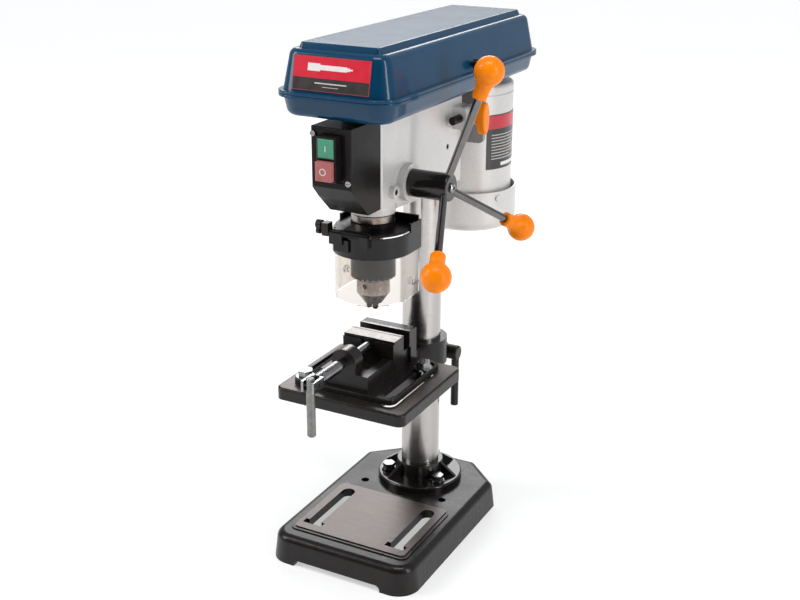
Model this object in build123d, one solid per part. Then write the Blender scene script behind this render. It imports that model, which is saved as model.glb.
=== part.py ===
from build123d import *
import math
import os

# Bench drill press. Millimetres, +Z up, +X to the operator's right, +Y to the back.
# The origin is on the floor, midway between the two bench bolt holes.

# fits and gaps
RUN = 0.05             # radial running fit of a shaft, slide or pin
SEAT = 0.02            # radial gap of a part that is seated in or on another
FACE_GAP = 0.4         # end gap between bodies that turn or slide past each other
AIR = 0.8              # gap between bodies that only pass each other

# heights and axes
FLOOR_TO_TOP = 33.0    # top plate of the base
COLUMN_Y = 46.0
COLUMN_R = 23.0
COLUMN_WALL = 3.5
SPINDLE_Y = -72.0
HEAD_BOTTOM_Z = 404.0
HEAD_TOP_Z = 520.0
TABLE_TOP_Z = 217.0

# base
BASE_HALF_W = 92.5
BASE_FRONT_Y = -162.0
BASE_REAR_Y = 113.0
BASE_REAR_CUT_X = 44.0
BASE_REAR_CUT_Y = 41.0
BASE_FRONT_R = 26.0
BASE_REAR_R = 12.0
BASE_DRAFT = 7.0
BASE_EDGE_R = 9.0
BASE_WALL = 8.0
FOOT_LENGTH = 36.6
ARCH_HEIGHT = 7.0
PAD_HALF_W = 71.5
PAD_FRONT_Y = -135.0
PAD_REAR_Y = -22.0
PAD_RISE = 2.5
PAD_STEP = 4.0
PAD_STEP_RISE = 1.3
BASE_SLOT_X = 54.0
BASE_SLOT_W = 16.0
BASE_SLOT_FRONT_Y = -124.0
BASE_SLOT_REAR_Y = -32.0
BASE_SLOT_ENTRY_W = 25.0
BASE_SLOT_ENTRY_LENGTH = 8.0
BENCH_HOLE_X = 53.0
BENCH_HOLE_R = 5.0
BENCH_BOSS_R = 11.0

# column flange and its bolts
FLANGE_EDGE = 13.0     # bolt circle to the flange's edge
FLANGE_THICK = 8.0
FLANGE_NECK_WALL = 8.0
FLANGE_NECK_TOP_WALL = 5.0
FLANGE_HEIGHT = 25.0
FLANGE_BOLT_OUT = 8.0  # neck to the bolt circle
FLANGE_BOLT_R = 4.0
FLANGE_BOLT_ANGLES = (90.0, 210.0, 330.0)
FLANGE_BOLT_GRIP = 28.0
BOLT_AF = 13.0
BOLT_HEAD = 5.5
WASHER_R = 8.0
WASHER_THICK = 1.4

# table and its bracket on the column
TABLE_HALF_W = 79.0
TABLE_FRONT_Y = -153.0
TABLE_REAR_Y = -7.5
TABLE_RIM = 14.0
TABLE_PLATE = 6.0
TABLE_WALL = 5.0
TABLE_CORNER_R = 9.0
TABLE_SLOT_X = 52.0
TABLE_SLOT_W = 17.0
TABLE_SLOT_FRONT_Y = -140.0
TABLE_SLOT_REAR_Y = -30.0
TABLE_HOLE_R = 10.0
TILT_DROP = 27.0       # tilt axis below the table's top
TILT_BOSS_R = 15.0
TILT_BOSS_FRONT_Y = -44.0
TILT_BOLT_R = 5.0
COLLAR_WALL = 8.0
COLLAR_HEIGHT = 32.0
COLLAR_RISE = 5.0      # collar's top above the table's top
EAR_OUT = 7.5          # clamp bolt behind the collar's outside
EAR_R = 12.0
EAR_HALF_W = 12.0
EAR_SLIT = 3.0
EAR_DROP = 27.0        # clamp bolt below the table's top
CLAMP_STUD_R = 4.0
CLAMP_HUB_R = 9.0
CLAMP_HUB_LENGTH = 20.0
CLAMP_BAR_R = 4.7
CLAMP_BAR_LENGTH = 70.0

# vise
VISE_X = -4.0
VISE_Y = -74.0
VISE_FLANGE_HALF_W = 63.0
VISE_FLANGE_FRONT = 63.0
VISE_FLANGE_REAR = 54.0
VISE_FLANGE_THICK = 6.5
VISE_SLOT_X = 52.0
VISE_SLOT_W = 9.0
VISE_SLOT_FRONT = 58.0
VISE_SLOT_REAR = 45.0
VISE_POCKET_W = 16.0
VISE_POCKET_DEEP = 3.0
BED_HALF_W = 29.0
BED_RISE = 24.0
BED_FRONT = 57.0
BED_CHANNEL_HALF_W = 19.0
BED_CHANNEL_DEEP = 9.0
JAW_RISE = 45.0
JAW_HALF_W = 32.0
FIXED_JAW_FACE = 35.0
FIXED_JAW_THICK = 17.0
MOVING_JAW_FRONT = -3.5
MOVING_JAW_THICK = 24.0
JAW_PLATE_THICK = 3.5
JAW_PLATE_HEIGHT = 19.0
JAW_SCREW_X = 21.0
JAW_SCREW_R = 3.0
SCREW_RISE = 36.0
SCREW_R = 5.5
SCREW_SLEEVE_R = 7.0
SCREW_LUG_R = 15.0
SCREW_LUG_LENGTH = 16.0
SCREW_FRONT = 112.0
FORK_LENGTH = 18.0
FORK_GAP = 10.2
FORK_CHEEK = 2.8
HANDLE_R = 4.7
HANDLE_BELOW = 58.0
HANDLE_ABOVE = 8.5
HANDLE_PIN_R = 2.2
VISE_BOLT_R = 3.9
VISE_BOLT_AF = 15.0
VISE_BOLT_HEAD = 7.0
VISE_WASHER_R = 10.5
VISE_BOLTS = ((-1, -52.0), (1, 30.0))

# head casting
NOSE_WALL = 4.5        # casting round the quill
NOSE_FRONT_WALL = 5.0
NOSE_RING_Z = 418.0
NOSE_BOTTOM_Z = 408.0
HEAD_WALL = 10.0       # casting round the column
HEAD_FLARE_Y = 22.0
HEAD_REAR_WALL = 15.0
SLIDE_BOSS_FRONT_Y = 51.0
SLIDE_BOSS_REAR_Y = 76.0
SLIDE_BOSS_WALL = 8.0
SLIDE_BOSS_HEIGHT = 25.0
SLIDE_BAR_OUT = 9.0    # bar's axis outside the casting
SLIDE_BAR_DROP = 31.0  # bar's axis below the casting's top
SLIDE_BAR_R = 4.7
SLIDE_BAR_FRONT_Y = 33.0
LOCK_SCREW_Y = 64.0
HEAD_SCREW_R = 3.2

# feed
RACK_MODULE = 1.0
PINION_TEETH = 16
FEED_Z = 437.0
FEED_SHAFT_R = 9.6
PINION_HALF_LENGTH = 11.5
FEED_BOSS_R = 20.5
FEED_BOSS_OUT = 8.5    # boss beyond the casting's nose
FEED_HUB_R = 15.0
FEED_HUB_LENGTH = 46.0
HANDLE_TILT = 20.0
HANDLE_ROD_R = 4.2
HANDLE_REACH = 125.0
HANDLE_PHASE = 2.0
KNOB_BALL_R = 15.6
KNOB_NECK_R = 8.0
KNOB_NECK = 30.0
SPRING_CAP_R = 26.0
SPRING_CAP_LENGTH = 15.0
SPRING_CAP_WALL = 2.0
SPRING_TURNS = 5
SPRING_STRIP = 0.8

# quill, spindle and chuck
QUILL_R = 20.0
QUILL_HEAD_ROOM = 25.0 # quill's top below the casting's top
QUILL_WALL = 7.0
COLLAR_RING_OUT = 3.5
QUILL_RING_HEIGHT = 9.0
QUILL_NOSE_STEP = 3.0
QUILL_NOSE_Z = 384.0
STROKE = 34.0
SPINDLE_R = 8.0
BEARING_HEIGHT = 9.0
SPLINE_R = 6.2
SPLINE_RIB = 0.9
SPLINE_RIB_W = 2.4
SPINDLE_TOP_GAP = 1.0
CHUCK_TOP_Z = 362.0
CHUCK_SLEEVE_R = 24.5
CHUCK_SLEEVE_HEIGHT = 26.0
CHUCK_CORE_R = 19.0
CHUCK_BODY_R = 18.2
CHUCK_NOSE_R = 10.0
CHUCK_NOSE_Z = 305.0
CHUCK_TIP_Z = 298.0
JAW_R = 3.0
JAW_TILT = 12.0
JAW_TIP_OFFSET = 3.9
JAW_LENGTH = 36.0
JAW_TRAVEL = 16.0
CHUCK_MOUTH_DEEP = 14.0
KEY_HOLE_R = 2.8
KEY_HOLE_DROP = 8.0    # key holes below the sleeve's shoulder
CHUCK_TEETH = 24

# pulleys and belt
PULLEY_RISE = 10.0     # lowest pulley step above the casting's top
PULLEY_STEPS = (44.0, 38.0, 32.0, 26.0)
STEP_HEIGHT = 12.0
GROOVE_DEEP = 5.0
BELT_STEP = 1
BELT_TOP_W = 8.0
BELT_THICK = 5.0
SLEEVE_R = 10.0
DRIVE_BEARING_R = 17.0
MOTOR_SHAFT_R = 6.0

# belt cover
PAN_FLOOR_HALF_W = 59.4
PAN_FRONT_Y = -153.0
PAN_REAR_ROOM = 53.0   # pan's rear behind the motor's axis
PAN_HEIGHT = 23.0
COVER_DRAFT = 12.0
COVER_WALL = 2.0
COVER_CORNER_R = 18.0
COVER_EDGE_R = 8.0
RIM_OUT = 4.3
RIM_THICK = 3.0
LID_HEIGHT = 43.5
PANEL_IN = 8.0
PANEL_RISE = 5.7
HINGE_OUT = 3.6
HINGE_PIN_R = 1.6
HINGE_KNUCKLE_R = 3.2
HINGE_KNUCKLE = 18.0
HINGE_Y = (-70.0, 120.0)

# switch box
BOX_IN = 1.5           # box side inside the casting's side
BOX_FRONT_Y = -157.0
BOX_TOP_DROP = 6.0
BOX_FACE_BOTTOM_Z = 453.0
BOX_CHIN_Y = -144.0
BOX_CHIN_Z = 439.0
BOX_HEEL_Y = -122.0
BOX_HEEL_Z = 419.0
BOX_WALL = 2.5
WINDOW_HALF_W = 17.0
WINDOW_LOW_Z = 459.0
WINDOW_HIGH_Z = 508.0
PLATE_RECESS = 1.5
PLATE_THICK = 2.0
BUTTON_W = 18.0
BUTTON_H = 19.5
MODULE_WALL = 2.0
MODULE_PROUD = 11.0
BUTTON_GAP = 0.3
GREEN_PROUD = 1.0
RED_PROUD = 6.5
BUTTON_TRAVEL = 3.0
GREEN_Z = 495.0
RED_Z = 473.0

# motor
CAN_R = 53.5
CAN_WALL = 3.0
CAN_TOP_DROP = 8.0
CAN_SEAM_DROP = 20.0
CAN_BOTTOM_Z = 372.0
CUP_OUT = 6.9          # cup's outside beyond the can
CUP_WALL = 2.2
CUP_TOP_Z = 384.0
CUP_BOTTOM_Z = 335.0
CUP_EDGE_R = 12.0
STATOR_IN_R = 30.5
STATOR_HEIGHT = 62.0
ROTOR_R = 30.0
MOTOR_PLATE_ROOM = 2.0 # plate to casting with the motor fully forward
MOTOR_SADDLE = 4.5     # plate's back to the can
MOTOR_PLATE_THICK = 6.0
MOTOR_PLATE_MARGIN = 6.0
FAN_IN = 9.5           # fan's edge inside the can's outside
MOTOR_PLATE_HEIGHT = 58.0
TENSION_TRAVEL = 18.0

# guard
HOOD_R = 44.0
GUARD_BACK = 28.0      # straight sides behind the spindle axis
HOOD_WALL = 2.0
HOOD_LOW_Z = 366.0
HOOD_HIGH_Z = 389.0
HOOD_REAR_RISE = 9.0
CLAMP_PLATE = 2.5
CLAMP_REAR_RISE = 12.0
SHIELD_WALL = 2.0
SHIELD_LOW_Z = 314.0
SHIELD_LAP = 10.0
CLAMP_RING_WALL = 7.0
CLAMP_RING_HEIGHT = 14.0
GUARD_ROD_Y = -117.0
GUARD_ROD_Z = 393.0
GUARD_ROD_R = 1.8
GUARD_ROD_LEFT = -38.0
GUARD_ROD_RIGHT = 22.0
GUARD_KNUCKLE_R = 4.0
GUIDE_X = 21.0
GUIDE_Y = -14.0
GUIDE_ROD_R = 2.6
GUIDE_BOSS_R = 6.5
GUIDE_BOSS_LOW_Z = 385.0
GUIDE_ARM_HEIGHT = 9.0

# worked out from the values above
FLANGE_NECK_R = COLUMN_R + FLANGE_NECK_WALL
FLANGE_NECK_TOP_R = COLUMN_R + FLANGE_NECK_TOP_WALL
FLANGE_BOLT_CIRCLE_R = FLANGE_NECK_R + FLANGE_BOLT_OUT
FLANGE_R = FLANGE_BOLT_CIRCLE_R + FLANGE_EDGE
NOSE_HALF_W = QUILL_R + NOSE_WALL
NOSE_FRONT_Y = SPINDLE_Y - QUILL_R - NOSE_FRONT_WALL
HEAD_HALF_W = COLUMN_R + HEAD_WALL
HEAD_REAR_Y = COLUMN_Y + COLUMN_R + HEAD_REAR_WALL
SLIDE_BAR_X = HEAD_HALF_W + SLIDE_BAR_OUT
SLIDE_BAR_Z = HEAD_TOP_Z - SLIDE_BAR_DROP
SLIDE_BOSS_HALF_W = SLIDE_BAR_X + SLIDE_BOSS_WALL
FEED_BOSS_X = NOSE_HALF_W + FEED_BOSS_OUT
QUILL_TOP_Z = HEAD_TOP_Z - QUILL_HEAD_ROOM
QUILL_BORE_R = QUILL_R - QUILL_WALL
COLLAR_RING_R = QUILL_R + COLLAR_RING_OUT
QUILL_NOSE_R = QUILL_R - QUILL_NOSE_STEP
CLAMP_RING_R = QUILL_NOSE_R + CLAMP_RING_WALL
PULLEY_Z = HEAD_TOP_Z + PULLEY_RISE
PULLEY_TOP_Z = PULLEY_Z + STEP_HEIGHT * len(PULLEY_STEPS)
SPINDLE_TOP_Z = PULLEY_TOP_Z - SPINDLE_TOP_GAP
MOTOR_PLATE_FRONT_Y = HEAD_REAR_Y + TENSION_TRAVEL + MOTOR_PLATE_ROOM
MOTOR_Y = MOTOR_PLATE_FRONT_Y + MOTOR_PLATE_THICK + MOTOR_SADDLE + CAN_R
MOTOR_PLATE_HALF_W = SLIDE_BAR_X + MOTOR_PLATE_MARGIN
PAN_REAR_Y = MOTOR_Y + PAN_REAR_ROOM
BOX_HALF_W = NOSE_HALF_W - BOX_IN
BOX_TOP_Z = HEAD_TOP_Z - BOX_TOP_DROP
CAN_TOP_Z = HEAD_TOP_Z - CAN_TOP_DROP
CAN_SEAM_Z = HEAD_TOP_Z - CAN_SEAM_DROP
MOTOR_PLATE_HIGH_Z = CAN_SEAM_Z + 8
MOTOR_PLATE_LOW_Z = MOTOR_PLATE_HIGH_Z - MOTOR_PLATE_HEIGHT
CUP_R = CAN_R + CUP_OUT
FAN_R = CAN_R - FAN_IN


def box(x0, x1, y0, y1, z0, z1):
    return Pos((x0 + x1) / 2, (y0 + y1) / 2, (z0 + z1) / 2) * Box(x1 - x0, y1 - y0, z1 - z0)


def rod_z(radius, z0, z1, x=0.0, y=0.0):
    return Pos(x, y, (z0 + z1) / 2) * Cylinder(radius, z1 - z0)


def rod_x(radius, x0, x1, y, z):
    return Pos((x0 + x1) / 2, y, z) * Rot(0, 90, 0) * Cylinder(radius, x1 - x0)


def rod_y(radius, y0, y1, x, z):
    return Pos(x, (y0 + y1) / 2, z) * Rot(90, 0, 0) * Cylinder(radius, y1 - y0)


def tube_z(outer, inner, z0, z1, x=0.0, y=0.0):
    return rod_z(outer, z0, z1, x, y) - rod_z(inner, z0 - 1, z1 + 1, x, y)


def hex_z(flats, z0, z1, x=0.0, y=0.0):
    side = RegularPolygon(flats / 2, 6, major_radius=False)
    return Pos(x, y, z0) * extrude(side, z1 - z0)


def rounded_slab(x0, x1, y0, y1, z0, z1, radius):
    outline = Pos((x0 + x1) / 2, (y0 + y1) / 2) * RectangleRounded(x1 - x0, y1 - y0, radius)
    return Pos(0, 0, z0) * extrude(outline, z1 - z0)


def slot_y(width, y0, y1, z0, z1, x):
    return rounded_slab(x - width / 2, x + width / 2, y0, y1, z0, z1, width / 2 - 0.01)


def turned(points, x=0.0, y=0.0):
    """Solid of revolution about a vertical axis, from (radius, height) points."""
    face = make_face(Polyline(*[(r, 0, z) for r, z in points], close=True))
    return Pos(x, y, 0) * revolve(face, Axis.Z)


def side_profile(points, x0, x1):
    """Outline of (y, z) points pushed from x0 to x1."""
    face = make_face(Polyline(*[(x0, y, z) for y, z in points], close=True))
    return extrude(face, x1 - x0, dir=(1, 0, 0))


def around(angle, x, y):
    return Pos(x, y, 0) * Rot(0, 0, angle) * Pos(-x, -y, 0)


# ---------- base, column and flange ----------

def base_outline(shrink, z):
    side = BASE_HALF_W - shrink
    front = BASE_FRONT_Y + shrink
    rear = BASE_REAR_Y - shrink
    cut = BASE_REAR_CUT_X
    points = [(-side, front), (side, front), (side, rear - BASE_REAR_CUT_Y),
              (side - cut, rear), (cut - side, rear), (-side, rear - BASE_REAR_CUT_Y)]
    face = make_face(Polyline(*points, close=True))
    front_corners = face.vertices().sort_by(Axis.Y)[:2]
    face = fillet(front_corners, max(BASE_FRONT_R - shrink, 3))
    rear_corners = face.vertices().sort_by(Axis.Y)[4:]
    return Pos(0, 0, z) * fillet(rear_corners, max(BASE_REAR_R - shrink, 3))


def make_base():
    body = extrude(base_outline(0, 0), FLOOR_TO_TOP, taper=BASE_DRAFT)
    body = fillet(body.faces().sort_by(Axis.Z)[-1].edges(), BASE_EDGE_R)
    body -= extrude(base_outline(BASE_WALL, -1), FLOOR_TO_TOP - BASE_WALL + 1, taper=BASE_DRAFT)
    step = PAD_STEP
    body += rounded_slab(-PAD_HALF_W - step, PAD_HALF_W + step, PAD_FRONT_Y - step, PAD_REAR_Y,
                         FLOOR_TO_TOP - 2, FLOOR_TO_TOP + PAD_STEP_RISE, 8)
    body += rounded_slab(-PAD_HALF_W, PAD_HALF_W, PAD_FRONT_Y, PAD_REAR_Y,
                         FLOOR_TO_TOP - 2, FLOOR_TO_TOP + PAD_RISE, 5)
    body += bench_and_flange_bosses()
    for side in (-1, 1):
        body -= base_slot(side)
        body -= rod_z(BENCH_HOLE_R, -1, FLOOR_TO_TOP + 5, side * BENCH_HOLE_X)
    for angle in FLANGE_BOLT_ANGLES:
        body -= flange_bolt_hole(angle)
    return body - foot_arches()


def bench_and_flange_bosses():
    roof = FLOOR_TO_TOP - BASE_WALL
    bosses = rod_z(BENCH_BOSS_R, 0, roof + 1, BENCH_HOLE_X)
    bosses += rod_z(BENCH_BOSS_R, 0, roof + 1, -BENCH_HOLE_X)
    bosses += tube_z(FLANGE_R, FLANGE_R - 6, ARCH_HEIGHT, roof + 1, 0, COLUMN_Y)
    for angle in FLANGE_BOLT_ANGLES:
        boss = rod_z(FLANGE_BOLT_R + 5, ARCH_HEIGHT, roof + 1, FLANGE_BOLT_CIRCLE_R, COLUMN_Y)
        bosses += around(angle, 0, COLUMN_Y) * boss
    return bosses


def base_slot(side):
    x = side * BASE_SLOT_X
    top = FLOOR_TO_TOP + PAD_RISE + 1
    low = FLOOR_TO_TOP - BASE_WALL - 1
    slot = slot_y(BASE_SLOT_W, BASE_SLOT_FRONT_Y, BASE_SLOT_REAR_Y, low, top, x)
    half = BASE_SLOT_ENTRY_W / 2
    front = BASE_SLOT_FRONT_Y
    return slot + box(x - half, x + half, front, front + BASE_SLOT_ENTRY_LENGTH, low, top)


def flange_bolt_hole(angle):
    hole = rod_z(FLANGE_BOLT_R + SEAT, -1, FLOOR_TO_TOP + FLANGE_HEIGHT, FLANGE_BOLT_CIRCLE_R, COLUMN_Y)
    return around(angle, 0, COLUMN_Y) * hole


def foot_arches():
    radius = ARCH_HEIGHT - 1
    front_half = BASE_HALF_W - FOOT_LENGTH
    arch = RectangleRounded(2 * front_half, 2 * ARCH_HEIGHT, radius)
    length = BASE_REAR_Y - BASE_FRONT_Y
    cuts = Pos(0, BASE_REAR_Y + 5, 0) * Rot(90, 0, 0) * extrude(arch, length + 10)
    side_y0 = BASE_FRONT_Y + FOOT_LENGTH
    side_y1 = BASE_REAR_Y - BASE_REAR_CUT_Y - 18
    side_arch = RectangleRounded(side_y1 - side_y0, 2 * ARCH_HEIGHT, radius)
    side = Rot(90, 0, 90) * extrude(side_arch, 2 * BASE_HALF_W + 10)
    cuts += Pos(-BASE_HALF_W - 5, (side_y0 + side_y1) / 2, 0) * side
    for x in (-BENCH_HOLE_X, BENCH_HOLE_X):
        cuts -= rod_z(BENCH_BOSS_R, -1, ARCH_HEIGHT + 1, x)
    return cuts


def make_column():
    low = FLOOR_TO_TOP
    high = HEAD_TOP_Z - 18
    return tube_z(COLUMN_R, COLUMN_R - COLUMN_WALL, low, high, 0, COLUMN_Y)


def make_column_flange():
    low = FLOOR_TO_TOP
    disc = rod_z(FLANGE_R, low, low + FLANGE_THICK, 0, COLUMN_Y)
    disc = fillet(disc.edges().sort_by(Axis.Z)[-1], 2)
    neck = turned([(0, low), (FLANGE_NECK_R, low), (FLANGE_NECK_TOP_R, low + FLANGE_HEIGHT),
                   (0, low + FLANGE_HEIGHT)], 0, COLUMN_Y)
    flange = disc + neck
    rib_base = FLANGE_R - 4
    rib = make_face(Polyline((COLUMN_R + 2, 0, low), (rib_base, 0, low),
                             (rib_base, 0, low + FLANGE_THICK + 1),
                             (FLANGE_NECK_TOP_R, 0, low + FLANGE_HEIGHT - 1),
                             (COLUMN_R + 2, 0, low + FLANGE_HEIGHT - 1), close=True))
    rib = Pos(0, COLUMN_Y - 2, 0) * extrude(rib, 4, dir=(0, 1, 0))
    for angle in FLANGE_BOLT_ANGLES:
        for offset in (-32, 32):
            flange += around(angle + offset, 0, COLUMN_Y) * rib
        seat = rod_z(WASHER_R + 1, low, low + FLANGE_THICK + 2, FLANGE_BOLT_CIRCLE_R, COLUMN_Y)
        flange += around(angle, 0, COLUMN_Y) * seat
        flange -= flange_bolt_hole(angle)
    return flange - rod_z(COLUMN_R + SEAT, low - 1, low + FLANGE_HEIGHT + 1, 0, COLUMN_Y)


def hex_bolt(x, y, seat_z, grip, radius, flats, head, washer):
    """Hex bolt with its washer: the washer's underside is at seat_z."""
    bolt = rod_z(washer, seat_z, seat_z + WASHER_THICK, x, y)
    bolt += hex_z(flats, seat_z + WASHER_THICK, seat_z + WASHER_THICK + head, x, y)
    return bolt + rod_z(radius, seat_z - grip, seat_z + WASHER_THICK, x, y)


def make_flange_bolts():
    seat_z = FLOOR_TO_TOP + FLANGE_THICK + 2
    bolt = hex_bolt(FLANGE_BOLT_CIRCLE_R, COLUMN_Y, seat_z, FLANGE_BOLT_GRIP,
                    FLANGE_BOLT_R, BOLT_AF, BOLT_HEAD, WASHER_R)
    return [around(angle, 0, COLUMN_Y) * bolt for angle in FLANGE_BOLT_ANGLES]


# ---------- table, bracket and clamp ----------

TILT_Z = TABLE_TOP_Z - TILT_DROP
EAR_Z = TABLE_TOP_Z - EAR_DROP
COLLAR_R = COLUMN_R + COLLAR_WALL
EAR_Y = COLUMN_Y + COLLAR_R + EAR_OUT
COLLAR_TOP_Z = TABLE_TOP_Z + COLLAR_RISE
COLLAR_LOW_Z = COLLAR_TOP_Z - COLLAR_HEIGHT
BRACKET_FACE_Y = TABLE_REAR_Y + FACE_GAP


def make_table_bracket():
    collar = rod_z(COLLAR_R, COLLAR_LOW_Z, COLLAR_TOP_Z, 0, COLUMN_Y)
    arm = rod_y(TILT_BOSS_R, BRACKET_FACE_Y, COLUMN_Y, 0, TILT_Z)
    arm += box(-TILT_BOSS_R + 2, TILT_BOSS_R - 2, BRACKET_FACE_Y + 8, COLUMN_Y,
               TILT_Z, COLLAR_TOP_Z - 4)
    ears = rod_x(EAR_R, -EAR_HALF_W, EAR_HALF_W, EAR_Y, EAR_Z)
    ears += box(-EAR_HALF_W, EAR_HALF_W, COLUMN_Y, EAR_Y, EAR_Z - EAR_R, EAR_Z + EAR_R + 6)
    body = collar + arm + ears
    body -= rod_z(COLUMN_R + RUN, COLLAR_LOW_Z - 30, COLLAR_TOP_Z + 10, 0, COLUMN_Y)
    body -= box(-EAR_SLIT / 2, EAR_SLIT / 2, COLUMN_Y + COLUMN_R - 4, EAR_Y + EAR_R + 5,
                COLLAR_LOW_Z - 30, COLLAR_TOP_Z + 10)
    body -= rod_x(CLAMP_STUD_R + RUN, -EAR_HALF_W - 1, EAR_HALF_W + 1, EAR_Y, EAR_Z)
    return body - rod_y(TILT_BOLT_R + SEAT, BRACKET_FACE_Y - 1, BRACKET_FACE_Y + 21, 0, TILT_Z)


def make_tilt_bolt():
    head_face = TILT_BOSS_FRONT_Y - FACE_GAP
    bolt = rod_y(TILT_BOLT_R, head_face, BRACKET_FACE_Y + 20, 0, TILT_Z)
    head = Pos(0, head_face, TILT_Z) * Rot(90, 0, 0) * extrude(RegularPolygon(8, 6, major_radius=False), 7)
    return bolt + head


def make_clamp_handle():
    x0 = EAR_HALF_W + FACE_GAP
    x1 = x0 + CLAMP_HUB_LENGTH
    hub = rod_x(CLAMP_HUB_R, x0, x1, EAR_Y, EAR_Z)
    hub = fillet(hub.edges().sort_by(Axis.X)[-1], 2)
    bar_x = x1 - CLAMP_BAR_R
    hub += rod_z(CLAMP_BAR_R, EAR_Z - CLAMP_BAR_LENGTH, EAR_Z, bar_x, EAR_Y)
    stud = rod_x(CLAMP_STUD_R, -EAR_HALF_W - 8, x0 + 1, EAR_Y, EAR_Z)
    nut = Pos(-EAR_HALF_W - FACE_GAP - 6, EAR_Y, EAR_Z) * Rot(0, 90, 0)
    return hub + stud + nut * extrude(RegularPolygon(7, 6, major_radius=False), 6)


def make_table():
    top = TABLE_TOP_Z
    body = rounded_slab(-TABLE_HALF_W, TABLE_HALF_W, TABLE_FRONT_Y, TABLE_REAR_Y,
                        top - TABLE_RIM, top, TABLE_CORNER_R)
    body = fillet(body.faces().sort_by(Axis.Z)[-1].edges(), 2.5)
    wall = TABLE_WALL
    body -= rounded_slab(-TABLE_HALF_W + wall, TABLE_HALF_W - wall, TABLE_FRONT_Y + wall,
                         TABLE_REAR_Y - wall, top - TABLE_RIM - 1, top - TABLE_PLATE,
                         TABLE_CORNER_R - wall)
    boss = rod_y(TILT_BOSS_R, TILT_BOSS_FRONT_Y, TABLE_REAR_Y, 0, TILT_Z)
    boss += box(-TILT_BOSS_R, TILT_BOSS_R, TILT_BOSS_FRONT_Y, TABLE_REAR_Y, TILT_Z, top - TABLE_PLATE + 1)
    for side in (-1, 1):
        body -= slot_y(TABLE_SLOT_W, TABLE_SLOT_FRONT_Y, TABLE_SLOT_REAR_Y,
                       top - TABLE_RIM, top + 1, side * TABLE_SLOT_X)
    body -= rod_z(TABLE_HOLE_R, top - TABLE_RIM, top + 1, 0, SPINDLE_Y)
    body += boss
    for y in (SPINDLE_Y - 45, SPINDLE_Y - 15):
        body += box(-TABLE_HALF_W + wall, TABLE_HALF_W - wall, y - 2, y + 2, top - TABLE_RIM + 3,
                    top - TABLE_PLATE) - table_slot_clear()
    return body - rod_y(TILT_BOLT_R + RUN, TILT_BOSS_FRONT_Y - 1, TABLE_REAR_Y + 1, 0, TILT_Z)


def table_slot_clear():
    low = TABLE_TOP_Z - TABLE_RIM
    wide = VISE_WASHER_R + 2
    clear = rod_z(TABLE_HOLE_R + 1, low, TABLE_TOP_Z, 0, SPINDLE_Y)
    for side in (-1, 1):
        x = side * TABLE_SLOT_X
        clear += box(x - wide, x + wide, TABLE_FRONT_Y, TABLE_REAR_Y, low, TABLE_TOP_Z)
    return clear


# ---------- vise ----------

VISE_Z = TABLE_TOP_Z
BED_Z = VISE_Z + BED_RISE
JAW_Z = VISE_Z + JAW_RISE
SCREW_Z = VISE_Z + SCREW_RISE
FORK_PIN_Y = VISE_Y - SCREW_FRONT - FORK_LENGTH + 6
JAW_PLATE_LOW_Z = JAW_Z - JAW_PLATE_HEIGHT
MOVING_PLATE_FACE = MOVING_JAW_FRONT + MOVING_JAW_THICK


def vise_box(x0, x1, v0, v1, z0, z1):
    """Box in the vise's own plan: x and v are from the vise's centre."""
    return box(VISE_X + x0, VISE_X + x1, VISE_Y + v0, VISE_Y + v1, z0, z1)


def jaw_screw_holes(face, radius, deep):
    holes = []
    for side in (-1, 1):
        x = VISE_X + side * JAW_SCREW_X
        z = JAW_Z - JAW_PLATE_HEIGHT / 2
        holes.append(rod_y(radius, VISE_Y + face, VISE_Y + face + deep, x, z))
    return holes


def make_vise_body():
    z = VISE_Z
    flange = rounded_slab(VISE_X - VISE_FLANGE_HALF_W, VISE_X + VISE_FLANGE_HALF_W,
                          VISE_Y - VISE_FLANGE_FRONT, VISE_Y + VISE_FLANGE_REAR,
                          z, z + VISE_FLANGE_THICK, 9)
    flange = fillet(flange.faces().sort_by(Axis.Z)[-1].edges(), 1.2)
    for side in (-1, 1):
        x = VISE_X + side * VISE_SLOT_X
        margin = (VISE_POCKET_W - VISE_SLOT_W) / 2
        flange -= slot_y(VISE_SLOT_W, VISE_Y - VISE_SLOT_FRONT, VISE_Y + VISE_SLOT_REAR, z - 1, z + 20, x)
        flange -= slot_y(VISE_POCKET_W, VISE_Y - VISE_SLOT_FRONT + 4, VISE_Y + VISE_SLOT_REAR + margin,
                         z + VISE_FLANGE_THICK - VISE_POCKET_DEEP, z + 20, x)
    rear = FIXED_JAW_FACE + FIXED_JAW_THICK
    bed = vise_box(-BED_HALF_W, BED_HALF_W, -BED_FRONT, rear, z, BED_Z)
    jaw = vise_box(-JAW_HALF_W, JAW_HALF_W, FIXED_JAW_FACE + JAW_PLATE_THICK, rear, z, JAW_Z)
    jaw = chamfer(jaw.edges().filter_by(Axis.X).sort_by(Axis.Z)[-1], 1)
    body = flange + bed + jaw
    lug_y0 = VISE_Y - BED_FRONT
    lug_y1 = lug_y0 + SCREW_LUG_LENGTH
    body += rod_y(SCREW_LUG_R, lug_y0, lug_y1, VISE_X, SCREW_Z)
    body += box(VISE_X - SCREW_LUG_R + 1, VISE_X + SCREW_LUG_R - 1, lug_y0, lug_y1, z, SCREW_Z)
    body -= vise_box(-BED_CHANNEL_HALF_W, BED_CHANNEL_HALF_W, -BED_FRONT + SCREW_LUG_LENGTH + 3,
                     FIXED_JAW_FACE, BED_Z - BED_CHANNEL_DEEP, BED_Z + 1)
    body -= vise_box(-BED_HALF_W + 6, BED_HALF_W - 6, -BED_FRONT + 6, rear - 6, z - 1, z + 7)
    body -= rod_y(SCREW_R + RUN, lug_y0 - 1, lug_y1 + 1, VISE_X, SCREW_Z)
    for hole in jaw_screw_holes(FIXED_JAW_FACE, JAW_SCREW_R, JAW_PLATE_THICK + 9):
        body -= hole
    return body


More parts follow.
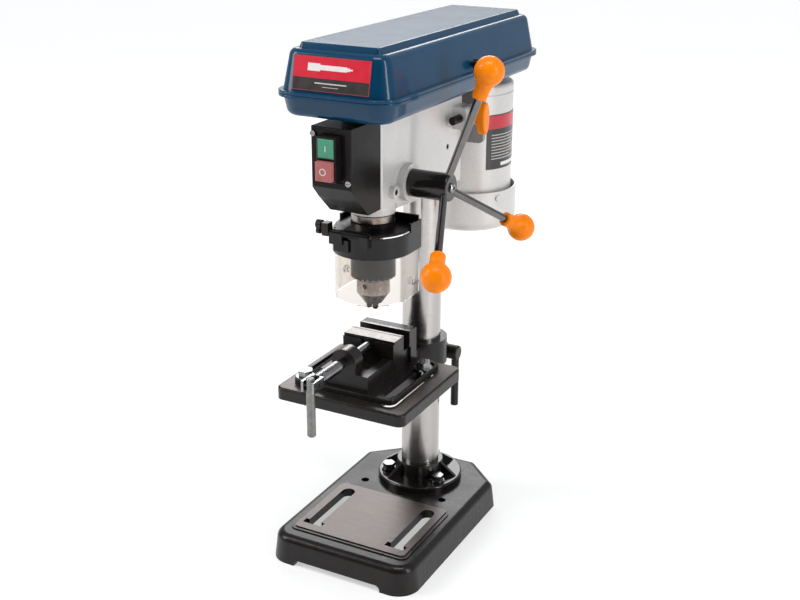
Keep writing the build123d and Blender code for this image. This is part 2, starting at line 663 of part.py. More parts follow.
def jaw_plate(face):
    plate = vise_box(-JAW_HALF_W, JAW_HALF_W, face, face + JAW_PLATE_THICK, JAW_PLATE_LOW_Z, JAW_Z + 0.3)
    for hole in jaw_screw_holes(face - 1, JAW_SCREW_R + 0.6, JAW_PLATE_THICK + 2):
        plate -= hole
    return plate


def jaw_screws(face, direction):
    """Socket screws of a jaw plate, flush with its gripping face."""
    start = face if direction > 0 else face - 11
    head = face if direction > 0 else face - 1.5
    screws = []
    for shank, socket in zip(jaw_screw_holes(start, JAW_SCREW_R - SEAT, 11),
                             jaw_screw_holes(head, 1.4, 1.5)):
        screws.append(shank - socket)
    return screws


def make_moving_jaw():
    half = JAW_HALF_W
    jaw = vise_box(-half, half, MOVING_JAW_FRONT, MOVING_PLATE_FACE - JAW_PLATE_THICK, BED_Z + 0.1, JAW_Z)
    tongue = BED_CHANNEL_HALF_W - RUN
    jaw += vise_box(-tongue, tongue, MOVING_JAW_FRONT, MOVING_PLATE_FACE - JAW_PLATE_THICK,
                    BED_Z - BED_CHANNEL_DEEP + 0.1, BED_Z + 1)
    jaw -= vise_box(-9, 9, MOVING_JAW_FRONT - 1, MOVING_JAW_FRONT + 3, SCREW_Z, JAW_Z + 1)
    jaw -= vise_box(-half - 1, half + 1, MOVING_JAW_FRONT - 1, MOVING_JAW_FRONT + 2.5, JAW_Z - 3, JAW_Z + 1)
    jaw -= rod_y(SCREW_R + RUN, VISE_Y + MOVING_JAW_FRONT - 1, VISE_Y + MOVING_JAW_FRONT + 9,
                 VISE_X, SCREW_Z)
    for hole in jaw_screw_holes(MOVING_PLATE_FACE - 11, JAW_SCREW_R, 12):
        jaw -= hole
    return jaw


def make_vise_screw():
    tip = VISE_Y + MOVING_JAW_FRONT + 8
    lug_front = VISE_Y - BED_FRONT
    front = VISE_Y - SCREW_FRONT
    screw = rod_y(SCREW_R, front, tip, VISE_X, SCREW_Z)
    screw += rod_y(SCREW_SLEEVE_R, front, lug_front - MOVING_JAW_CLOSE - FACE_GAP, VISE_X, SCREW_Z)
    half = FORK_GAP / 2 + FORK_CHEEK
    fork = box(VISE_X - half, VISE_X + half, front - FORK_LENGTH, front + 2, SCREW_Z - 6, SCREW_Z + 6)
    fork -= box(VISE_X - FORK_GAP / 2, VISE_X + FORK_GAP / 2, front - FORK_LENGTH - 1, front - 1,
                SCREW_Z - 7, SCREW_Z + 7)
    fork -= rod_x(HANDLE_PIN_R + SEAT, VISE_X - half - 1, VISE_X + half + 1, FORK_PIN_Y, SCREW_Z)
    return screw + fork


MOVING_JAW_CLOSE = FIXED_JAW_FACE - MOVING_PLATE_FACE - FACE_GAP


def make_vise_handle():
    rod = rod_z(HANDLE_R, SCREW_Z - HANDLE_BELOW, SCREW_Z + HANDLE_ABOVE, VISE_X, FORK_PIN_Y)
    rod = chamfer(rod.edges().filter_by(GeomType.CIRCLE), 1)
    return rod - rod_x(HANDLE_PIN_R + RUN, VISE_X - 10, VISE_X + 10, FORK_PIN_Y, SCREW_Z)


def make_vise_handle_pin():
    half = FORK_GAP / 2 + FORK_CHEEK + 0.8
    return rod_x(HANDLE_PIN_R, VISE_X - half, VISE_X + half, FORK_PIN_Y, SCREW_Z)


def make_vise_bolts():
    bolts = []
    for side, v in VISE_BOLTS:
        x = VISE_X + side * VISE_SLOT_X
        y = VISE_Y + v
        seat = VISE_Z + VISE_FLANGE_THICK
        under = TABLE_TOP_Z - TABLE_PLATE
        bolt = hex_bolt(x, y, seat, seat - under + 14, VISE_BOLT_R, VISE_BOLT_AF,
                        VISE_BOLT_HEAD, VISE_WASHER_R)
        nut = rod_z(VISE_WASHER_R, under - WASHER_THICK, under, x, y)
        nut += hex_z(VISE_BOLT_AF, under - WASHER_THICK - 6, under - WASHER_THICK, x, y)
        bolts.append(bolt + nut)
    return bolts


# ---------- head casting ----------

FEED_Y = SPINDLE_Y + QUILL_R + RACK_MODULE * PINION_TEETH / 2 - RACK_MODULE


def make_head_casting():
    top = HEAD_TOP_Z
    nose = box(-NOSE_HALF_W, NOSE_HALF_W, NOSE_FRONT_Y, FEED_Y, NOSE_RING_Z, top)
    nose = fillet(nose.edges().filter_by(Axis.Z).sort_by(Axis.Y)[:2], 3)
    nose += rod_z(NOSE_HALF_W, NOSE_BOTTOM_Z, NOSE_RING_Z + 2, 0, SPINDLE_Y)
    plan = make_face(Polyline((-NOSE_HALF_W, FEED_Y - 20), (NOSE_HALF_W, FEED_Y - 20),
                              (HEAD_HALF_W, HEAD_FLARE_Y), (HEAD_HALF_W, HEAD_REAR_Y - 8),
                              (HEAD_HALF_W - 8, HEAD_REAR_Y), (8 - HEAD_HALF_W, HEAD_REAR_Y),
                              (-HEAD_HALF_W, HEAD_REAR_Y - 8), (-HEAD_HALF_W, HEAD_FLARE_Y), close=True))
    head = nose + Pos(0, 0, NOSE_RING_Z - 6) * extrude(plan, top - NOSE_RING_Z + 6)
    head += rod_z(HEAD_HALF_W, HEAD_BOTTOM_Z, top, 0, COLUMN_Y)
    head += slide_bosses()
    head += rod_x(FEED_BOSS_R, -FEED_BOSS_X, FEED_BOSS_X, FEED_Y, FEED_Z)
    head += rod_z(GUIDE_BOSS_R, GUIDE_BOSS_LOW_Z, NOSE_RING_Z, GUIDE_X, GUIDE_Y)
    head += rod_x(7, 0, NOSE_HALF_W + 6, SPINDLE_Y - 4, FEED_Z - 4)
    return head - head_bores()


def slide_bosses():
    half = SLIDE_BOSS_HEIGHT / 2
    bar = box(-SLIDE_BOSS_HALF_W, SLIDE_BOSS_HALF_W, SLIDE_BOSS_FRONT_Y, SLIDE_BOSS_REAR_Y,
              SLIDE_BAR_Z - half, SLIDE_BAR_Z + half)
    return fillet(bar.edges().filter_by(Axis.Y), 6)


def head_bores():
    top = HEAD_TOP_Z
    cuts = rod_z(QUILL_R + RUN, HEAD_BOTTOM_Z - 1, QUILL_TOP_Z + 2, 0, SPINDLE_Y)
    cuts += rod_z(SLEEVE_R + 3, QUILL_TOP_Z, top + 1, 0, SPINDLE_Y)
    cuts += rod_z(DRIVE_BEARING_R + SEAT, top - 2 - 2 * BEARING_HEIGHT, top + 1, 0, SPINDLE_Y)
    cuts += rod_z(COLUMN_R + SEAT, HEAD_BOTTOM_Z - 1, top - 18, 0, COLUMN_Y)
    cuts += rod_x(FEED_SHAFT_R + RUN, -FEED_BOSS_X - 1, FEED_BOSS_X + 1, FEED_Y, FEED_Z)
    hollow = NOSE_HALF_W - 7
    cuts += box(-hollow, hollow, FEED_Y + FEED_BOSS_R + 2, COLUMN_Y - COLUMN_R - 9,
                FEED_Z, top + 1)
    cuts += rod_z(GUIDE_ROD_R + RUN, GUIDE_BOSS_LOW_Z - 1, guide_rod_top() + 2, GUIDE_X, GUIDE_Y)
    for side in (-1, 1):
        cuts += rod_y(SLIDE_BAR_R + RUN, SLIDE_BOSS_FRONT_Y - 1, SLIDE_BOSS_REAR_Y + 1,
                      side * SLIDE_BAR_X, SLIDE_BAR_Z)
    cuts += rod_x(LOCK_SCREW_R + RUN, SLIDE_BAR_X, SLIDE_BOSS_HALF_W + 1, LOCK_SCREW_Y, SLIDE_BAR_Z)
    for place in head_screw_places():
        cuts += rod_x(HEAD_SCREW_R + SEAT, place[0] - 9, place[0] + 1, place[1], place[2])
    return cuts


LOCK_SCREW_R = 3.0


def head_screw_places():
    return ((HEAD_HALF_W, COLUMN_Y - 5, FEED_Z + 21), (HEAD_HALF_W, COLUMN_Y - 5, FEED_Z - 12),
            (NOSE_HALF_W + 6, SPINDLE_Y - 4, FEED_Z - 4))


def make_head_screws():
    screws = []
    for x, y, z in head_screw_places():
        screw = rod_x(HEAD_SCREW_R, x - 9, x - 0.5, y, z)
        socket = Pos(x - 3, y, z) * Rot(0, 90, 0)
        screws.append(screw - socket * extrude(RegularPolygon(1.5, 6, major_radius=False), 4))
    return screws


def make_cord_gland():
    x = -HEAD_HALF_W
    y = COLUMN_Y - 4
    gland = rod_x(8, x - 3, x, y, FEED_Z + 40) + rod_x(5.5, x - 13, x - 3, y, FEED_Z + 40)
    return gland - rod_x(3, x - 14, x + 1, y, FEED_Z + 40)


# ---------- feed: shaft, hub, handles, return spring ----------

def involute_tooth_points(sign, thin):
    """Flank of one tooth, from the root to the tip, on the given side."""
    pitch = RACK_MODULE * PINION_TEETH / 2
    base = pitch * math.cos(math.radians(20))
    tip = pitch + 0.9 * RACK_MODULE
    roll_pitch = math.tan(math.radians(20))
    half = math.pi / (2 * PINION_TEETH) - thin / (2 * pitch)
    start = half + roll_pitch - math.radians(20)
    points = []
    for step in range(6):
        roll = math.sqrt((tip / base) ** 2 - 1) * step / 5
        radius = base * math.sqrt(1 + roll * roll)
        angle = sign * (start - (roll - math.atan(roll)))
        points.append((radius, angle))
    return points


def make_pinion_face():
    root = RACK_MODULE * (PINION_TEETH / 2 - 1.25)
    outline = []
    for tooth in range(PINION_TEETH):
        middle = 2 * math.pi * tooth / PINION_TEETH
        low = involute_tooth_points(-1, BACKLASH)
        high = involute_tooth_points(1, BACKLASH)[::-1]
        flank = [(root, low[0][1])] + low + high + [(root, high[-1][1])]
        for radius, angle in flank:
            outline.append((radius * math.cos(middle + angle), radius * math.sin(middle + angle)))
    return make_face(Polyline(*outline, close=True))


BACKLASH = 0.5


def make_feed_shaft():
    half = PINION_HALF_LENGTH
    left = -FEED_BOSS_X - SPRING_CAP_LENGTH + 3
    right = FEED_BOSS_X + FACE_GAP + FEED_HUB_LENGTH - 8
    gear = Pos(-half, FEED_Y, FEED_Z) * Rot(0, 90, 0) * extrude(make_pinion_face(), 2 * half)
    core = rod_x(RACK_MODULE * (PINION_TEETH / 2 - 1.3), -half - 1, half + 1, FEED_Y, FEED_Z)
    shaft = gear + core
    for x0, x1 in ((half, FEED_BOSS_X), (-FEED_BOSS_X, -half)):
        shaft += rod_x(FEED_SHAFT_R, x0, x1, FEED_Y, FEED_Z)
    shaft += rod_x(6, FEED_BOSS_X - 1, right, FEED_Y, FEED_Z)
    return shaft + rod_x(5, left, 1 - FEED_BOSS_X, FEED_Y, FEED_Z)


HUB_X0 = FEED_BOSS_X + FACE_GAP
HUB_X1 = HUB_X0 + FEED_HUB_LENGTH
HANDLE_ROOT_X = HUB_X1 - 8


def handle_frame(index):
    """Frame on the hub's axis whose +Z runs out along one handle rod."""
    turn = Rot(-(HANDLE_PHASE + 120 * index), 0, 0)
    return Pos(HANDLE_ROOT_X, FEED_Y, FEED_Z) * turn * Rot(0, HANDLE_TILT, 0)


def along_rod(reach):
    return reach / math.cos(math.radians(HANDLE_TILT))


def make_feed_hub():
    hub = rod_x(FEED_HUB_R, HUB_X0, HUB_X1, FEED_Y, FEED_Z)
    hub = fillet(hub.edges().sort_by(Axis.X)[-1], 2)
    hub -= rod_x(6 + SEAT, HUB_X0 - 1, HUB_X1 - 8, FEED_Y, FEED_Z)
    for index in range(3):
        hub -= handle_frame(index) * rod_z(HANDLE_ROD_R + SEAT, 7, 40)
    return hub


def make_handle_rods():
    end = along_rod(HANDLE_REACH - 6)
    return [handle_frame(index) * rod_z(HANDLE_ROD_R, 7.5, end) for index in range(3)]


def make_handle_knobs():
    centre = along_rod(HANDLE_REACH)
    neck = centre - KNOB_NECK
    lean = math.radians(40)
    meet = (KNOB_BALL_R * math.cos(lean), centre - KNOB_BALL_R * math.sin(lean))
    outline = Polyline((0, neck), (KNOB_NECK_R - 1, neck), (KNOB_NECK_R, neck + 1), (KNOB_NECK_R, neck + 5))
    outline += Spline((KNOB_NECK_R, neck + 5), meet, tangents=[(-0.1, 1), (math.sin(lean), math.cos(lean))])
    outline += ThreePointArc(meet, (KNOB_BALL_R, centre), (0, centre + KNOB_BALL_R))
    outline += Line((0, centre + KNOB_BALL_R), (0, neck))
    knob = revolve(Plane.XZ * make_face(outline), Axis.Z)
    knob -= rod_z(HANDLE_ROD_R + SEAT, neck - 1, along_rod(HANDLE_REACH - 5))
    return [handle_frame(index) * knob for index in range(3)]


def make_spring_cap():
    x1 = -FEED_BOSS_X
    x0 = x1 - SPRING_CAP_LENGTH
    cap = rod_x(SPRING_CAP_R, x0, x1, FEED_Y, FEED_Z)
    cap = fillet(cap.edges().sort_by(Axis.X)[0], 2)
    cap -= rod_x(SPRING_CAP_R - SPRING_CAP_WALL, x0 + SPRING_CAP_WALL, x1 + 1, FEED_Y, FEED_Z)
    return cap - rod_x(5 + AIR, x0 - 1, x1, FEED_Y, FEED_Z)


def make_return_spring():
    inner = 5 + AIR + 1
    outer = SPRING_CAP_R - SPRING_CAP_WALL - SPRING_STRIP - 0.5
    steps = 20 * SPRING_TURNS
    near = []
    far = []
    for step in range(steps + 1):
        angle = 2 * math.pi * SPRING_TURNS * step / steps
        radius = inner + (outer - inner) * step / steps
        near.append((radius * math.cos(angle), radius * math.sin(angle)))
        grown = radius + SPRING_STRIP
        far.append((grown * math.cos(angle), grown * math.sin(angle)))
    face = make_face(Polyline(*(near + far[::-1]), close=True))
    x0 = -FEED_BOSS_X - SPRING_CAP_LENGTH + SPRING_CAP_WALL + 1
    return Pos(x0, FEED_Y, FEED_Z) * Rot(0, 90, 0) * extrude(face, 8)


# ---------- quill, spindle and chuck ----------

RING_Z = NOSE_BOTTOM_Z - FACE_GAP
RING_LOW_Z = RING_Z - QUILL_RING_HEIGHT


def make_quill():
    quill = rod_z(QUILL_R, RING_Z - 1, QUILL_TOP_Z, 0, SPINDLE_Y)
    ring = rod_z(COLLAR_RING_R, RING_LOW_Z, RING_Z, 0, SPINDLE_Y)
    quill += chamfer(ring.edges().filter_by(GeomType.CIRCLE), 1)
    quill += rod_z(QUILL_NOSE_R, QUILL_NOSE_Z, RING_LOW_Z + 1, 0, SPINDLE_Y)
    quill -= rod_z(SPINDLE_R + AIR, QUILL_NOSE_Z - 1, QUILL_TOP_Z + 1, 0, SPINDLE_Y)
    for z in bearing_places():
        quill -= rod_z(QUILL_BORE_R + SEAT, z, z + BEARING_HEIGHT, 0, SPINDLE_Y)
    return quill - rack_spaces()


def bearing_places():
    return (QUILL_NOSE_Z, QUILL_TOP_Z - BEARING_HEIGHT)


def rack_spaces():
    """Gaps between the rack teeth on the quill's back, in mesh with the pinion."""
    back = SPINDLE_Y + QUILL_R
    pitch = math.pi * RACK_MODULE
    root = back - 2.25 * RACK_MODULE
    slope = math.tan(math.radians(20))
    half_pitch_line = pitch / 4 + BACKLASH / 4
    deep_half = half_pitch_line - 1.25 * RACK_MODULE * slope
    wide_half = half_pitch_line + 1.2 * RACK_MODULE * slope
    count = int((STROKE + 12) / pitch)
    cuts = None
    for index in range(-3, count):
        z = FEED_Z + pitch * index
        points = [(root, z - deep_half), (back + 0.2, z - wide_half),
                  (back + 0.2, z + wide_half), (root, z + deep_half)]
        space = side_profile(points, -PINION_HALF_LENGTH - 1, PINION_HALF_LENGTH + 1)
        cuts = space if cuts is None else cuts + space
    return cuts


def make_quill_bearings():
    rings = []
    for z in bearing_places():
        ring = tube_z(QUILL_BORE_R, SPINDLE_R + RUN, z, z + BEARING_HEIGHT, 0, SPINDLE_Y)
        for face_z in (z - 1, z + BEARING_HEIGHT - 1):
            ring -= tube_z(QUILL_BORE_R - 1.5, SPINDLE_R + 1.8, face_z, face_z + 2, 0, SPINDLE_Y)
        rings.append(ring)
    return rings


def spline(radius, rib, width, z0, z1):
    bar = rod_z(radius, z0, z1)
    for index in range(6):
        bar += Rot(0, 0, 60 * index) * box(0, radius + rib, -width / 2, width / 2, z0, z1)
    return Pos(0, SPINDLE_Y, 0) * bar


def make_spindle():
    socket = CHUCK_TOP_Z - 14
    lower = turned([(0, socket + 1), (6.4, socket + 1), (7.4, CHUCK_TOP_Z), (11, CHUCK_TOP_Z + 3),
                    (11, QUILL_NOSE_Z - FACE_GAP), (SPINDLE_R, QUILL_NOSE_Z - FACE_GAP),
                    (SPINDLE_R, QUILL_TOP_Z + 1), (0, QUILL_TOP_Z + 1)], 0, SPINDLE_Y)
    return lower + spline(SPLINE_R, SPLINE_RIB, SPLINE_RIB_W, QUILL_TOP_Z, SPINDLE_TOP_Z)


def jaw_frame(index):
    """Frame at one chuck jaw's tip, whose +Z runs up and outward along the jaw."""
    return (Pos(0, SPINDLE_Y, CHUCK_TIP_Z) * Rot(0, 0, 120 * index + 90) * Pos(JAW_TIP_OFFSET, 0, 0)
            * Rot(0, JAW_TILT, 0))


def make_chuck_body():
    low = CHUCK_NOSE_Z
    shoulder = CHUCK_TOP_Z - CHUCK_SLEEVE_HEIGHT - FACE_GAP
    body = turned([(0, low), (CHUCK_NOSE_R, low), (CHUCK_BODY_R, low + 12), (CHUCK_BODY_R, shoulder - 3),
                   (CHUCK_BODY_R - 1, shoulder - 3), (CHUCK_BODY_R - 1, shoulder - 1.5),
                   (CHUCK_BODY_R, shoulder - 1.5), (CHUCK_BODY_R, shoulder),
                   (CHUCK_CORE_R, shoulder), (CHUCK_CORE_R, CHUCK_TOP_Z), (0, CHUCK_TOP_Z)],
                  0, SPINDLE_Y)
    body -= rod_z(JAW_TIP_OFFSET + JAW_R - 0.3, low - 1, low + CHUCK_MOUTH_DEEP, 0, SPINDLE_Y)
    body -= turned([(0, CHUCK_TOP_Z - 14), (6.4, CHUCK_TOP_Z - 14), (7.4, CHUCK_TOP_Z),
                    (7.4, CHUCK_TOP_Z + 1), (0, CHUCK_TOP_Z + 1)], 0, SPINDLE_Y)
    for index in range(3):
        body -= jaw_frame(index) * rod_z(JAW_R + RUN, -8, JAW_LENGTH + JAW_TRAVEL + 2)
        key = Pos(0, SPINDLE_Y, 0) * Rot(0, 0, 120 * index + 30)
        body -= key * rod_x(KEY_HOLE_R, 12, CHUCK_BODY_R + 2, 0, shoulder - KEY_HOLE_DROP)
    return body


def make_chuck_sleeve():
    low = CHUCK_TOP_Z - CHUCK_SLEEVE_HEIGHT
    sleeve = rod_z(CHUCK_SLEEVE_R, low, CHUCK_TOP_Z, 0, SPINDLE_Y)
    sleeve = chamfer(sleeve.edges().sort_by(Axis.Z)[-1], 2)
    sleeve -= rod_z(CHUCK_CORE_R + RUN, low - 1, CHUCK_TOP_Z + 1, 0, SPINDLE_Y)
    for index in range(CHUCK_TEETH):
        turn = Pos(0, SPINDLE_Y, 0) * Rot(0, 0, 360 * index / CHUCK_TEETH)
        sleeve -= turn * box(CHUCK_CORE_R + 2, CHUCK_SLEEVE_R + 1, -1.4, 1.4, low - 1, low + 2.6)
    return sleeve


def make_chuck_jaw(index):
    jaw = rod_z(JAW_R, 0, JAW_LENGTH)
    jaw = chamfer(jaw.edges().sort_by(Axis.Z)[-1], 0.6)
    jaw = fillet(jaw.edges().sort_by(Axis.Z)[0], 0.8)
    for z in range(12, int(JAW_LENGTH) - 2, 3):
        jaw -= tube_z(JAW_R + 1, JAW_R - 0.5, z, z + 1.2)
    return jaw_frame(index) * jaw


# ---------- pulleys, belt and drive sleeve ----------

def step_pulley(radii, bore, y):
    """Stepped V-belt pulley: radii run from its lowest step to its highest."""
    z = PULLEY_Z
    points = [(bore, z)]
    for radius in radii:
        flat = (STEP_HEIGHT - BELT_TOP_W) / 2
        groove = radius - GROOVE_DEEP
        points += [(radius, z), (radius, z + flat - 0.5), (groove, z + flat + 1.4),
                   (groove, z + STEP_HEIGHT - flat - 1.4), (radius, z + STEP_HEIGHT - flat + 0.5),
                   (radius, z + STEP_HEIGHT)]
        z += STEP_HEIGHT
    points.append((bore, z))
    return turned(points, 0, y)


def make_spindle_pulley():
    return step_pulley(PULLEY_STEPS, SLEEVE_R + SEAT, SPINDLE_Y)


def make_motor_pulley():
    return step_pulley(PULLEY_STEPS[::-1], MOTOR_SHAFT_R + SEAT, MOTOR_Y)


def belt_radius(radii):
    return radii[BELT_STEP]


def make_drive_belt():
    front = belt_radius(PULLEY_STEPS)
    rear = belt_radius(PULLEY_STEPS[::-1])
    low = PULLEY_Z + BELT_STEP * STEP_HEIGHT + (STEP_HEIGHT - BELT_TOP_W) / 2
    outer = belt_loop(front, rear)
    inner = belt_loop(front - BELT_THICK + 0.6, rear - BELT_THICK + 0.6)
    belt = extrude(outer - inner, BELT_TOP_W - 1.2)
    return Pos(0, 0, low + 0.6) * belt - belt_flanks(front, rear, low)


def belt_loop(front, rear):
    """Filled outline round both pulleys: two circles and the quadrilateral of their tangents."""
    span = MOTOR_Y - SPINDLE_Y
    lean = math.asin((front - rear) / span)
    points = []
    for y, radius in ((SPINDLE_Y, front), (MOTOR_Y, rear)):
        points.append((radius * math.cos(lean), y + radius * math.sin(lean)))
    strip = make_face(Polyline(points[0], points[1], (-points[1][0], points[1][1]),
                               (-points[0][0], points[0][1]), close=True))
    return strip + Pos(0, SPINDLE_Y) * Circle(front) + Pos(0, MOTOR_Y) * Circle(rear)


def belt_flanks(front, rear, low):
    """Room for the groove walls, so that the belt's section stays inside the groove."""
    span = BELT_TOP_W - 2.4
    deep = belt_loop(front - 2.2, rear - 2.2)
    lower = Pos(0, 0, low) * extrude(deep, 1.8)
    return lower + Pos(0, 0, low + span + 0.6) * extrude(deep, 1.8)


def make_drive_sleeve():
    low = HEAD_TOP_Z - 2 - 2 * BEARING_HEIGHT
    high = PULLEY_TOP_Z + 2
    sleeve = rod_z(SLEEVE_R, low, high, 0, SPINDLE_Y)
    return sleeve - spline(SPLINE_R + RUN, SPLINE_RIB + RUN, SPLINE_RIB_W + 0.2, low - 1, high + 1)


def make_drive_bearings():
    low = HEAD_TOP_Z - 2 - 2 * BEARING_HEIGHT
    rings = []
    for index in range(2):
        z = low + index * BEARING_HEIGHT
        rings.append(tube_z(DRIVE_BEARING_R, SLEEVE_R + RUN, z, z + BEARING_HEIGHT, 0, SPINDLE_Y))
    return rings


# ---------- belt cover ----------

RIM_Z = HEAD_TOP_Z + PAN_HEIGHT
WALL_HALF_W = PAN_FLOOR_HALF_W + PAN_HEIGHT * math.tan(math.radians(COVER_DRAFT))
WALL_GROW = WALL_HALF_W - PAN_FLOOR_HALF_W
RIM_HALF_W = WALL_HALF_W + RIM_OUT
HINGE_X = -RIM_HALF_W - HINGE_OUT


def cover_outline(grow):
    width = 2 * (PAN_FLOOR_HALF_W + grow)
    length = PAN_REAR_Y - PAN_FRONT_Y + 2 * grow
    return Pos(0, (PAN_FRONT_Y + PAN_REAR_Y) / 2) * RectangleRounded(width, length, COVER_CORNER_R + grow)


def pan_form(shrink, z0, height):
    form = Pos(0, 0, z0) * extrude(cover_outline(-shrink), height, taper=-COVER_DRAFT)
    return fillet(form.faces().sort_by(Axis.Z)[0].edges(), COVER_EDGE_R - shrink)


def lid_form(shrink, z0, height):
    form = Pos(0, 0, z0) * extrude(cover_outline(WALL_GROW - shrink), height, taper=COVER_DRAFT)
    return fillet(form.faces().sort_by(Axis.Z)[-1].edges(), COVER_EDGE_R - shrink)


def rim(z0):
    ring = Pos(0, 0, z0) * extrude(cover_outline(WALL_GROW + RIM_OUT), RIM_THICK)
    ring = fillet(ring.faces().sort_by(Axis.Z)[-1].edges(), 1)
    return ring - Pos(0, 0, z0 - 1) * extrude(cover_outline(WALL_GROW - COVER_WALL), RIM_THICK + 2)


def knuckle(y0, y1, reach):
    part = rod_y(HINGE_KNUCKLE_R, y0, y1, HINGE_X, RIM_Z)
    z0, z1 = (RIM_Z - HINGE_KNUCKLE_R, RIM_Z) if reach < 0 else (RIM_Z, RIM_Z + HINGE_KNUCKLE_R)
    leaf = box(HINGE_X, -WALL_HALF_W - 1, y0, y1, z0 + 0.15, z1 - 0.15)
    return part + leaf - rod_y(HINGE_PIN_R + RUN, y0 - 1, y1 + 1, HINGE_X, RIM_Z)


def make_belt_pan():
    pan = pan_form(0, HEAD_TOP_Z, PAN_HEIGHT - 0.1)
    pan -= pan_form(COVER_WALL, HEAD_TOP_Z + COVER_WALL, PAN_HEIGHT)
    pan += rim(RIM_Z - RIM_THICK - 0.1)
    pan -= rod_z(DRIVE_BEARING_R - 3, HEAD_TOP_Z - 1, HEAD_TOP_Z + 10, 0, SPINDLE_Y)
    pan -= slot_y(2 * (MOTOR_SHAFT_R + 5), MOTOR_Y - TENSION_TRAVEL - MOTOR_SHAFT_R - 5,
                  MOTOR_Y + MOTOR_SHAFT_R + 5, HEAD_TOP_Z - 1, HEAD_TOP_Z + 10, 0)
    for y in HINGE_Y:
        pan += knuckle(y - HINGE_KNUCKLE, y - FACE_GAP / 2, -1)
    return pan


def make_belt_lid():
    z0 = RIM_Z + 0.1
    lid = lid_form(0, z0, LID_HEIGHT)
    inset = LID_HEIGHT * math.tan(math.radians(COVER_DRAFT)) + PANEL_IN
    panel = Pos(0, 0, z0 + LID_HEIGHT - 1) * extrude(cover_outline(WALL_GROW - inset),
                                                     PANEL_RISE + 1, taper=COVER_DRAFT * 2)
    lid += fillet(panel.faces().sort_by(Axis.Z)[-1].edges(), 2)
    lid -= lid_form(COVER_WALL, z0 - 1, LID_HEIGHT + 1 - COVER_WALL)
    lid += rim(z0)
    for y in HINGE_Y:
        lid += knuckle(y + FACE_GAP / 2, y + HINGE_KNUCKLE, 1)
    return lid


def make_lid_hinge_pins():
    pins = []
    for y in HINGE_Y:
        pin = rod_y(HINGE_PIN_R, y - HINGE_KNUCKLE - 1, y + HINGE_KNUCKLE + 1, HINGE_X, RIM_Z)
        pins.append(pin)
    return pins


LID_KNOB_Y = 36.0
LID_KNOB_Z = RIM_Z + 11.0


def lid_side_x(z):
    return WALL_HALF_W - (z - RIM_Z) * math.tan(math.radians(COVER_DRAFT))


def make_lid_knob():
    x = lid_side_x(LID_KNOB_Z)
    knob = rod_x(2.5, x - 3, x + 4, LID_KNOB_Y, LID_KNOB_Z) + rod_x(5, x + 3, x + 9, LID_KNOB_Y, LID_KNOB_Z)
    return fillet(knob.edges().sort_by(Axis.X)[-1], 1)


def lid_knob_hole():
    x = lid_side_x(LID_KNOB_Z)
    return rod_x(2.5, x - 8, x + 8, LID_KNOB_Y, LID_KNOB_Z)


LABEL_HALF_W = 43.5
LABEL_RISE = 5.5       # label's foot above the rim
LABEL_HEIGHT = 33.0
LABEL_THICK = 0.5


def make_front_label():
    lean = math.radians(COVER_DRAFT)
    z = RIM_Z + LABEL_RISE + LABEL_HEIGHT / 2
    y = PAN_FRONT_Y - WALL_GROW + (z - RIM_Z - 0.1) * math.tan(lean)
    plate = Box(2 * LABEL_HALF_W, LABEL_THICK, LABEL_HEIGHT / math.cos(lean))
    return Pos(0, y, z) * Rot(-COVER_DRAFT, 0, 0) * Pos(0, -LABEL_THICK / 2, 0) * plate


# ---------- switch box ----------

def box_side_points(shrink):
    return [(NOSE_FRONT_Y, BOX_TOP_Z - shrink), (BOX_FRONT_Y + shrink, BOX_TOP_Z - shrink),
            (BOX_FRONT_Y + shrink, BOX_FACE_BOTTOM_Z + shrink / 2),
            (BOX_CHIN_Y + shrink, BOX_CHIN_Z + shrink / 2),
            (BOX_HEEL_Y + shrink, BOX_HEEL_Z + shrink), (NOSE_FRONT_Y, BOX_HEEL_Z + shrink)]


def make_switch_box():
    shell = side_profile(box_side_points(0), -BOX_HALF_W, BOX_HALF_W)
    shell = fillet(shell.faces().sort_by(Axis.Y)[0].edges(), 2)
    inner = BOX_HALF_W - BOX_WALL
    shell -= Pos(0, 1, 0) * side_profile(box_side_points(BOX_WALL), -inner, inner)
    shell -= box(-WINDOW_HALF_W, WINDOW_HALF_W, BOX_FRONT_Y - 1, BOX_FRONT_Y + BOX_WALL + 3,
                 WINDOW_LOW_Z, WINDOW_HIGH_Z)
    for x, z in box_screw_places():
        shell -= rod_y(BOX_SCREW_R, BOX_FRONT_Y - 1, BOX_FRONT_Y + 10, x, z)
    return shell


BOX_SCREW_R = 1.6


def box_screw_places():
    edge = (WINDOW_HALF_W + BOX_HALF_W) / 2
    return ((-edge, WINDOW_HIGH_Z - 1), (edge, WINDOW_LOW_Z + 1))


def make_switch_plate():
    """Plate in the window, with the switch block that stands out of it."""
    gap = 0.1
    face = BOX_FRONT_Y + PLATE_RECESS
    half = WINDOW_HALF_W - gap
    plate = box(-half, half, face, face + PLATE_THICK, WINDOW_LOW_Z + gap, WINDOW_HIGH_Z - gap)
    block_half = BUTTON_W / 2 + MODULE_WALL
    block_low = RED_Z - BUTTON_H / 2 - MODULE_WALL
    block_high = GREEN_Z + BUTTON_H / 2 + MODULE_WALL
    block = box(-block_half, block_half, face - MODULE_PROUD, BUTTON_BACK_Y + BUTTON_TRAVEL + 1.5,
                block_low, block_high)
    block = chamfer(block.faces().sort_by(Axis.Y)[0].edges(), 0.8)
    plate += block
    for z in (GREEN_Z, RED_Z):
        half_w = BUTTON_W / 2 + BUTTON_GAP
        half_h = BUTTON_H / 2 + BUTTON_GAP
        plate -= box(-half_w, half_w, face - MODULE_PROUD - 1, BUTTON_BACK_Y + BUTTON_TRAVEL + 0.3,
                     z - half_h, z + half_h)
    return plate


BUTTON_BACK_Y = BOX_FRONT_Y + PLATE_RECESS + PLATE_THICK + 4.2


